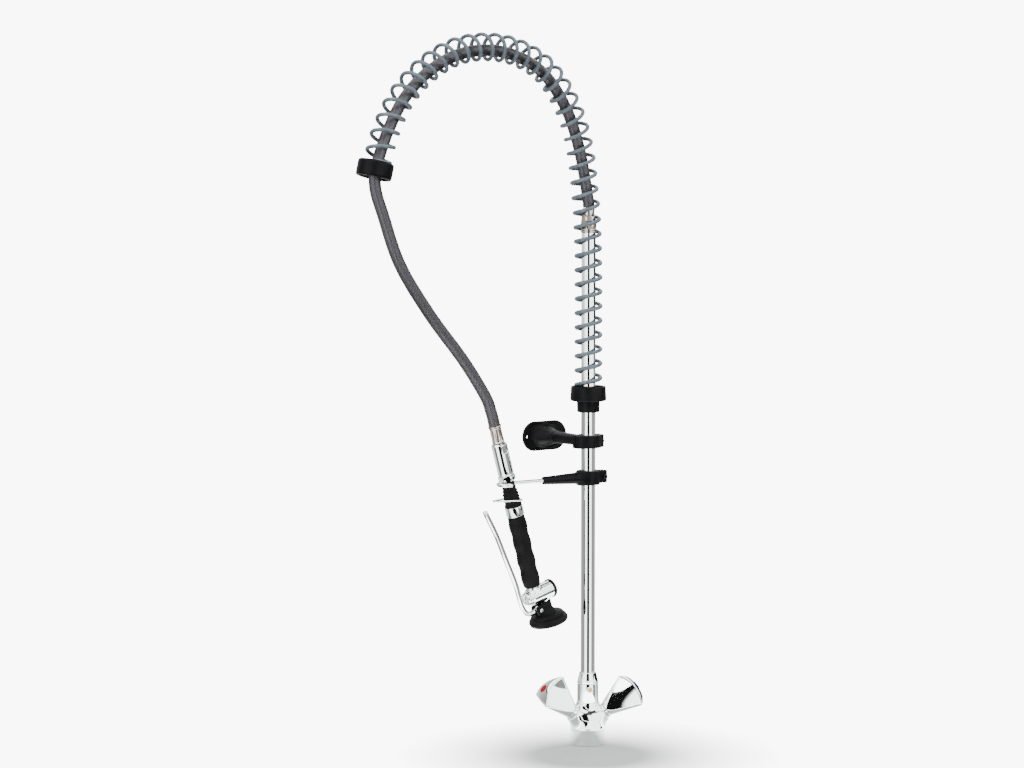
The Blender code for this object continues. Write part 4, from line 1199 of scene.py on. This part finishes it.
def build_spray_head():
    axis = GUN @ shift(x=0.015)
    pivot = GUN.inverted() @ Vector(joint("lever_squeeze")["pos_m"])
    pin = GUN @ Matrix.Translation(pivot) @ ACROSS
    bell = [
        (0.0102, -0.2912, 0.0008), (0.0106, -0.3030, 0.0060), (0.0150, -0.3095, 0.0050),
        (0.0250, -0.3126, 0.0020), (0.0262, -0.3146, 0.0008), (0.0252, -0.3160, 0.0004),
        (0.0292, -0.3184, 0.0030), (0.0308, -0.3228, 0.0040), (0.0288, -0.3272, 0.0026),
        (0.0235, -0.3280, 0.0012), (0.0215, -0.3270, 0.0008), (0.0215, -0.3165, 0.0006),
        (0.0060, -0.3120, 0.0010), (0.0060, -0.2960), (0.0089, -0.2960), (0.0089, -0.2912),
    ]
    half, slot = 0.0090, 0.0044
    lugs = box(GUN, (pivot.x - 0.0062, -half, pivot.z - 0.0075), (0.0120, half, pivot.z + 0.0075), 0.0020)
    round_lugs = cylinder(pin, 0.0072, -half, half, 0.0010)
    body = joined(turned(axis, bell), joined(lugs, round_lugs, soft=0.001), soft=0.003)
    cuts = [
        cylinder(axis, 0.0089, -0.2960, -0.28),
        cylinder(axis, 0.0060, -0.3130, -0.29),
        box(GUN, (pivot.x - 0.02, -slot, pivot.z - 0.0092), (pivot.x + 0.0070, slot, pivot.z + 0.02)),
        cylinder(pin, 0.0034, -0.02, 0.02),
    ]
    low, high = cast_box("spray_head", 0.0012)
    cast("spray_head", without(body, *cuts), low, high, 0.0007)

    plate = cylinder(axis, 0.0211, -0.3190, -0.3170, 0.0003)
    jets = [cylinder(axis, 0.0019, -0.33, -0.31)]
    for ring, count in ((0.0095, 8), (0.0160, 14)):
        for k in range(count):
            angle = TURN * k / count
            jet = axis @ shift(ring * math.cos(angle), ring * math.sin(angle))
            jets.append(cylinder(jet, 0.0010, -0.33, -0.31))
    low, high = cast_box("spray_plate")
    cast("spray_plate", without(plate, *jets, soft=0.0002), low, high, 0.00055)
    upside_down = Matrix.Rotation(math.pi, 4, "X")
    cap_screw("spray_plate_screw", axis @ shift(z=-0.3193) @ upside_down, 0.0034, 0.0018, 0.0015, 0.0040)


# Studio


def build_studio():
    """A small pale floor that glows, dim round the base as a painted contact shadow and brighter outward so that
    it fades into the backdrop; three soft lights and the room.
    """
    floor_radius, floor_sides, floor_level, floor_shift = 0.40, 96, -0.0004, 0.09
    # The floor's glow is dim near the base, a painted contact shadow, and bright further out where the floor meets
    # the white backdrop.
    painted_shadow_glow, backdrop_glow, shadow_fade_start, shadow_fade_end = 0.4, 8.6, 0.08, 0.30
    mesh = bpy.data.meshes.new("floor")
    edge = [TURN * i / floor_sides for i in range(floor_sides)]
    points = [(floor_radius * math.cos(a), floor_radius * math.sin(a), floor_level) for a in edge]
    mesh.from_pydata(points, [], [tuple(range(floor_sides))])
    floor = bpy.data.objects.new("floor", mesh)
    floor.location = (floor_shift * math.sin(CAMERA_AZIMUTH), -floor_shift * math.cos(CAMERA_AZIMUTH), 0)
    bpy.context.scene.collection.objects.link(floor)
    nodes = Nodes(bpy.data.materials.new("floor"))
    nodes.set(Roughness=0.6, Specular_IOR_Level=0.1)
    reach = nodes.add("ShaderNodeVectorMath", operation="LENGTH")
    nodes.link(nodes.place(), reach.inputs[0])
    # Emission rises with distance from the base: the dim inner part paints a soft contact shadow under the faucet,
    # and the bright outer part hides the floor's edge.
    share = nodes.math("POWER", nodes.spread(reach.outputs["Value"], 0.0, 1.0, shadow_fade_start, shadow_fade_end), 1.2)
    shadow_and_backdrop_glow = nodes.spread(share, painted_shadow_glow, backdrop_glow, 0.0, 1.0)
    nodes.link(shadow_and_backdrop_glow, nodes.shader.inputs["Emission Strength"])
    cloud = nodes.noise(3.0, 3.0)
    pale = nodes.ramp(cloud, (0.3, (0.13, 0.135, 0.132)), (0.7, (0.15, 0.155, 0.152)))
    nodes.link(pale, nodes.shader.inputs["Base Color"])
    nodes.set(Emission_Color=(0.95, 0.97, 0.96))
    mesh.materials.append(nodes.owner)
    floor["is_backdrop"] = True

    def softbox(name, azimuth, elevation, distance, size, power):
        data = bpy.data.lights.new(name, "AREA")
        data.shape = "RECTANGLE"
        data.size, data.size_y = size
        data.energy = power
        light = bpy.data.objects.new(name, data)
        bpy.context.scene.collection.objects.link(light)
        a, e = math.radians(azimuth), math.radians(elevation)
        out = Vector((math.sin(a) * math.cos(e), -math.cos(a) * math.cos(e), math.sin(e)))
        light.location = Vector((-0.1, 0, 0.5)) + distance * out
        light.rotation_euler = (-out).to_track_quat("-Z", "Y").to_euler()
        light.visible_glossy = False

    softbox("key", -95, 35, 2.6, (1.2, 1.8), 60)
    softbox("fill", 40, 20, 3.0, (1.0, 2.0), 36)
    softbox("top", -20, 80, 2.6, (2.0, 2.0), 40)
    build_surroundings()


ROOM_STRENGTH = 4.5
BACKDROP_STRENGTH = 9.0

# What polished metal shows of the room. Each row has the lower edge of a band of height, and then the
# brightness at bearings in degrees, counted from the photographer's own.
SURROUNDINGS = [
    (-1.0, [(-180, 0.05)]),
    (-0.72, [(-180, 0.08), (-58, 0.05), (-50, 1.0), (26, 1.0), (32, 0.003), (100, 0.003), (112, 0.20),
             (180, 0.08)]),
    (-0.50, [(-180, 0.40), (-104, 0.40), (-98, 0.10), (-68, 0.10), (-62, 1.0), (-18, 1.0), (-15, 0.002),
             (26, 0.002), (29, 0.14), (44, 0.14), (50, 0.01), (110, 0.01), (140, 0.2), (180, 0.2)]),
    (-0.27, [(-180, 0.15), (-60, 0.09), (-51, 1.0), (-18, 1.0), (-15, 0.002),
             (20, 0.002), (23, 1.0), (51, 1.0), (60, 0.09), (180, 0.15)]),
    (-0.035, [(-180, 0.30), (-70, 0.30), (-60, 1.0), (-17, 1.0), (-14, 0.002), (16, 0.002), (19, 1.0),
              (87, 1.0), (91, 0.004), (180, 0.004)]),
    (0.20, [(-180, 0.30), (-75, 0.08), (-60, 1.0), (62, 1.0), (64, 0.04), (180, 0.04)]),
    (0.27, [(-180, 0.30), (-75, 0.08), (-60, 1.0), (-19, 1.0), (-16, 0.002), (16, 0.002), (19, 1.0),
            (180, 0.9)]),
    (0.55, [(-180, 0.02)]),
    (0.61, [(-180, 1.0), (80, 1.0), (90, 0.03), (180, 0.03)]),
    (0.88, [(-180, 0.05)]),
    (0.94, [(-180, 1.0)]),
]


def build_surroundings():
    """The bright and dark parts of the room that polished metal shows, behind a plain white backdrop."""
    world = bpy.data.worlds.new("studio")
    bpy.context.scene.world = world
    nodes = Nodes(world)
    nodes.tree.nodes.clear()
    where = nodes.add("ShaderNodeTexCoord")
    split = nodes.add("ShaderNodeSeparateXYZ")
    nodes.link(where.outputs["Generated"], split.inputs["Vector"])
    bearing = nodes.math("ARCTAN2", split.outputs["X"], nodes.math("MULTIPLY", split.outputs["Y"], -1.0))
    off = nodes.math("WRAP", nodes.math("SUBTRACT", bearing, CAMERA_AZIMUTH), math.pi, -math.pi)
    share = nodes.math("MULTIPLY_ADD", off, 1 / TURN, 0.5)
    colour = None
    for height, band in SURROUNDINGS:
        stops = [((degrees + 180) / 360, (level, level, level * 1.01)) for degrees, level in band]
        shade = nodes.ramp(share, *stops)
        if colour is None:
            colour = shade
            continue
        blend = nodes.add("ShaderNodeMixRGB")
        nodes.link(nodes.math("GREATER_THAN", split.outputs["Z"], height), blend.inputs["Fac"])
        nodes.link(colour, blend.inputs["Color1"])
        nodes.link(shade, blend.inputs["Color2"])
        colour = blend.outputs["Color"]
    room = nodes.add("ShaderNodeBackground")
    room.inputs["Strength"].default_value = ROOM_STRENGTH
    nodes.link(colour, room.inputs["Color"])
    backdrop = nodes.add("ShaderNodeBackground")
    backdrop.inputs["Color"].default_value = (1.0, 1.0, 1.0, 1.0)
    backdrop.inputs["Strength"].default_value = BACKDROP_STRENGTH
    path = nodes.add("ShaderNodeLightPath")
    choice = nodes.add("ShaderNodeMixShader")
    nodes.link(path.outputs["Is Camera Ray"], choice.inputs["Fac"])
    nodes.link(room.outputs["Background"], choice.inputs[1])
    nodes.link(backdrop.outputs["Background"], choice.inputs[2])
    output = nodes.add("ShaderNodeOutputWorld")
    nodes.link(choice.outputs["Shader"], output.inputs["Surface"])


build_camera()
build_hose()
build_mixer()
for side in ARMS:
    build_handle(side)
build_riser()
build_spring()
build_bracket()
build_hook()
build_neck()
build_grip()
build_valve()
build_lever()
build_hold_open_ring()
build_spray_head()
for node, thing in frame["nodes"].items():
    thing.data.materials.clear()
    thing.data.materials.append(MATERIALS[SLOT_OF[node]])
build_studio()

boxes = {"cad": cad_bounds, "visual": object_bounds()}
{name: [list(map(float, corner)) for corner in corners] for name, corners in boxes.items()}
